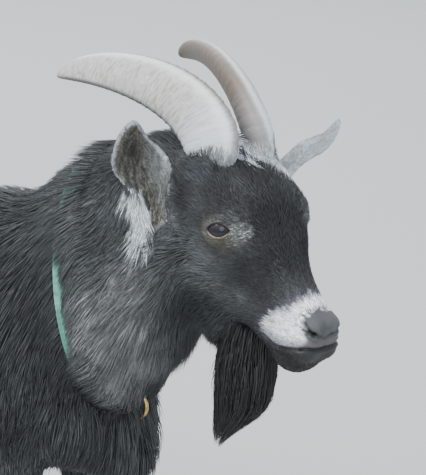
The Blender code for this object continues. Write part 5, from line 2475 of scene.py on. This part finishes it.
# --- collar ---
@dataclass(frozen=True)
class Collar:
    """The webbing collar with its brass ring and buckle, and how the coat lies round it."""

    at: Triple = (0.1653, -0.003, 0.409)
    lean: float = math.radians(7)
    half_height: float = 0.116
    half_width: float = 0.090
    width: float = 0.018
    thickness: float = 0.0028
    steps: int = 160
    ring: float = 0.0135
    wire: float = 0.0022
    hang: float = 0.0058
    edge: float = 0.0006
    free_from: Pair = (-0.034, -0.018)
    free_to: Pair = (0.046, 0.062)
    reach: float = 0.07
    drape: float = 0.024
    pressed: float = 0.975  # share of the strap's radius that hair beneath it keeps to
    ring_gap: float = 0.004
    ring_room: Triple = (0.013, 0.016, 0.012)
    cut: float = 0.3

    def matrix(self) -> Matrix:
        """The collar's own frame: X across the strap, Y to the left and Z up."""
        return Matrix.Translation(self.at) @ Matrix.Rotation(-self.lean, 4, "Y")

    def build(self) -> None:
        """Builds strap, ring and buckle."""
        webbing, brass = WebbingFinish().made(), BrassFinish().made()
        dressed(self._strap(), webbing, "collar_webbing", "collar")
        dressed(self._ring(), brass, "brass", "collar_ring")
        dressed(self._buckle(), brass, "brass", "collar_buckle")

    def _strap(self) -> Object:
        """The strap, bent round the neck from a flat band.

        Returns:
            The strap.
        """
        bm = bmesh.new()
        bmesh.ops.create_grid(bm, x_segments=6, y_segments=self.steps, size=0.5)
        for vertex in bm.verts:
            angle = vertex.co.y * 2 * math.pi
            y, z = math.cos(angle) * self.half_width, math.sin(angle) * self.half_height
            vertex.co = Vector((vertex.co.x * self.width, y, z))
        bmesh.ops.remove_doubles(bm, verts=bm.verts, dist=1e-5)
        bmesh.ops.recalc_face_normals(bm, faces=bm.faces)
        strap = closed(bm, "collar_strap")
        changed(strap, "SOLIDIFY", thickness=self.thickness, offset=1.0)
        limit = {"limit_method": "ANGLE", "angle_limit": math.radians(50)}
        changed(strap, "BEVEL", width=self.edge, segments=2, **limit)
        mesh = strap.data
        points = points_of(mesh)
        angle = np.arctan2(points[:, 2] / self.half_height, points[:, 1] / self.half_width)
        along = angle * (self.half_height + self.half_width) / 2
        weave = np.stack([along, points[:, 0], np.zeros(len(points))], axis=1)
        write(mesh, "weave", Stored.FLOAT_VECTOR, weave)
        mesh.transform(self.matrix())
        mesh.shade_smooth()
        return strap

    def _ring(self) -> Object:
        """The ring, which hangs round the strap at its lowest point.

        Returns:
            The ring.
        """
        bm = bmesh.new()
        section = bmesh.ops.create_circle(bm, cap_ends=False, radius=self.wire, segments=16)["verts"]
        bmesh.ops.rotate(bm, cent=(0, 0, 0), matrix=Matrix.Rotation(math.pi / 2, 3, "X"), verts=section)
        bmesh.ops.translate(bm, vec=(self.ring, 0, 0), verts=section)
        whole = {"cent": (0, 0, 0), "axis": (0, 0, 1), "angle": 2 * math.pi, "steps": 64, "use_merge": True}
        bmesh.ops.spin(bm, geom=section + list(bm.edges), **whole)
        low = Matrix.Translation((0, 0, -self.half_height - self.hang))
        place = low @ Matrix.Rotation(math.pi / 2, 4, "X")
        bmesh.ops.transform(bm, matrix=self.matrix() @ place, verts=bm.verts)
        return closed(bm, "brass_ring")

    @staticmethod
    def _buckle() -> Object:
        """The buckle, with its edges rounded."""
        bm = bmesh.new()
        add_mesh(bm, node_copy("collar_buckle", 0.0))
        rounded(bm, 40, 0.5 * MM, False)
        return closed(bm, "brass_buckle")

    def parted(self, lines: Array, chance: Chance) -> Array:
        """Lays the hair that roots under the strap beneath it, and the head's hair over its front edge.

        Args:
            lines: The hairs' points, from root to tip.
            chance: The source of random numbers.

        Returns:
            The new points.
        """
        turn = np.array(self.matrix().to_3x3())
        local = (lines - self.at) @ turn
        start = local[:, 0, 0]
        height = local[:, 0, 2]
        half = self.width / 2
        inside = np.hypot(local[:, 0, 1] / self.half_width, height / self.half_height) < 1.03
        near = (np.abs(start) < self.reach) & inside
        ahead = near & (start > half)
        free = ease(height, *self.free_from) * (1 - ease(height, *self.free_to))
        limit = chance.normal(-0.015, 0.003, len(lines)) * (1 - free) - 0.002 * free
        drape = self.drape * ahead * (1 - ease(start, half + 0.005, half + 0.045)) * (1 - free)
        drape = drape * (1 - ease(height, 0.100, 0.118)) * ease(height, -0.112, -0.098)
        drape = drape * chance.uniform(0.5, 1.2, len(lines))
        local[..., 0] -= drape[:, None] * np.linspace(0, 1, lines.shape[1]) ** 1.5
        end = local[:, -1, 0]
        crossing = ahead & (end < limit)
        share = np.where(crossing, (start - limit) / np.maximum(start - end, 1e-6), 1.0)
        local = local[:, :1] + (local - local[:, :1]) * share[:, None, None]
        across = local[..., 0]
        reach = np.hypot(local[..., 1] / self.half_width, local[..., 2] / self.half_height)
        lift = ahead[:, None] * (1 - ease(across, half + 0.003, half + 0.022))
        under = near[:, None] & ~ahead[:, None] & (np.abs(across) < half + 0.001)
        rise = chance.uniform(1.033, 1.08, (len(lines), 1))
        want = reach + np.maximum(rise - reach, 0) * lift
        want = np.where(under, np.minimum(want, self.pressed), want)
        local[..., 1:] *= (want / np.maximum(reach, 1e-6))[..., None]
        gap = local - (self.ring_gap, 0.0, -self.half_height - self.hang - self.ring_gap)
        caught = (spans(gap / self.ring_room) < 1).any(axis=1) & (start > -half)
        local = np.where(caught[:, None, None], local[:, :1] + (local - local[:, :1]) * self.cut, local)
        return local @ turn.T + self.at


COLLAR = Collar()


# --- studio ---
@dataclass(frozen=True)
class Studio:
    """A pale floor, soft lights and the camera."""

    azimuth: float = math.radians(27)
    elevation: float = math.radians(18)
    distance: float = 1.6
    focal: float = 145.5
    sensor: float = 36.0
    aside: float = -0.0358
    below: float = -0.0079
    floor_size: float = 14.0
    floor_colour: Triple = (0.45, 0.46, 0.44)
    sky: Triple = (0.80, 0.86, 0.95)
    sky_strength: float = 1.75
    lit: Triple = (0.1, 0.0, 0.35)

    def build(self) -> None:
        """Builds floor, lights and camera."""
        self._floor()
        self._world()
        self._light("key", (-0.8, -1.6, 3.4), 2.6, 160.0, (1.0, 0.98, 0.95))
        self._light("fill", (2.6, -3.2, 1.6), 2.6, 62.0, (0.92, 0.96, 1.0))
        self._light("back", (-2.2, 2.6, 2.6), 2.2, 65.0, (0.9, 0.95, 1.0))
        self._camera()

    def _floor(self) -> None:
        """The floor."""
        bm = bmesh.new()
        bmesh.ops.create_grid(bm, x_segments=1, y_segments=1, size=self.floor_size / 2)
        floor = show("floor", ended(bm, "floor"))
        finish = Nodes("floor", Base_Color=(*self.floor_colour, 1.0), Roughness=0.9)
        floor.data.materials.append(finish.material)

    def _world(self) -> None:
        """Soft light from all round."""
        world = bpy.data.worlds.new("studio")
        world.use_nodes = True
        background = world.node_tree.nodes["Background"]
        background.inputs["Color"].default_value = (*self.sky, 1.0)
        background.inputs["Strength"].default_value = self.sky_strength
        bpy.context.scene.world = world

    def _light(self, name: str, at: Triple, size: float, power: float, colour: Triple) -> None:
        """One large soft light, turned to the goat.

        Args:
            name: Its name.
            at: Where it hangs.
            size: Its side in metres.
            power: Its power in watts.
            colour: Its colour.
        """
        light = bpy.data.lights.new(name, "AREA")
        light.shape = "DISK"
        light.size = size
        light.energy = power
        light.color = colour
        made = bpy.data.objects.new(name, light)
        made.location = at
        made.rotation_euler = (Vector(self.lit) - Vector(at)).to_track_quat("-Z", "Y").to_euler()
        bpy.context.scene.collection.objects.link(made)

    def _camera(self) -> None:
        """The camera, which looks down at the head from the goat's right."""
        a, e = self.azimuth, self.elevation
        back = Vector((math.sin(a) * math.cos(e), -math.cos(a) * math.cos(e), math.sin(e)))
        right = Vector((math.cos(a), math.sin(a), 0.0))
        up = back.cross(right)
        aim = Vector(HEAD.origin) + right * self.aside + up * self.below
        camera = bpy.data.cameras.new("camera")
        camera.sensor_width = self.sensor
        camera.lens = self.focal
        made = bpy.data.objects.new("camera", camera)
        made.location = aim + back * self.distance
        made.rotation_euler = Matrix((right, up, back)).transposed().to_euler()
        bpy.context.scene.collection.objects.link(made)
        bpy.context.scene.camera = made


def main() -> None:
    """Builds the goat, from its skin to the studio."""
    groom, markings = Groom(), Markings()
    skin = Skin(groom, markings)
    LOG.info("skin: %d triangles", len(skin.triangles))
    coat = Coat(skin, groom, markings)
    for number, growth in enumerate(GROWTHS):
        coat.grow(growth, 100 + number)
    coat.grow_beard(Beard(), 200)
    coat.grow_skirts(HORNS, 300)
    Eyes().build()
    LOG.info("eyes and lids")
    HORNS.build()
    LOG.info("horns")
    Feet().build()
    LOG.info("hooves and dewclaws")
    COLLAR.build()
    LOG.info("collar")
    Studio().build()
    LOG.info("floor, lights and camera")


if __name__ == "__main__":
    main()
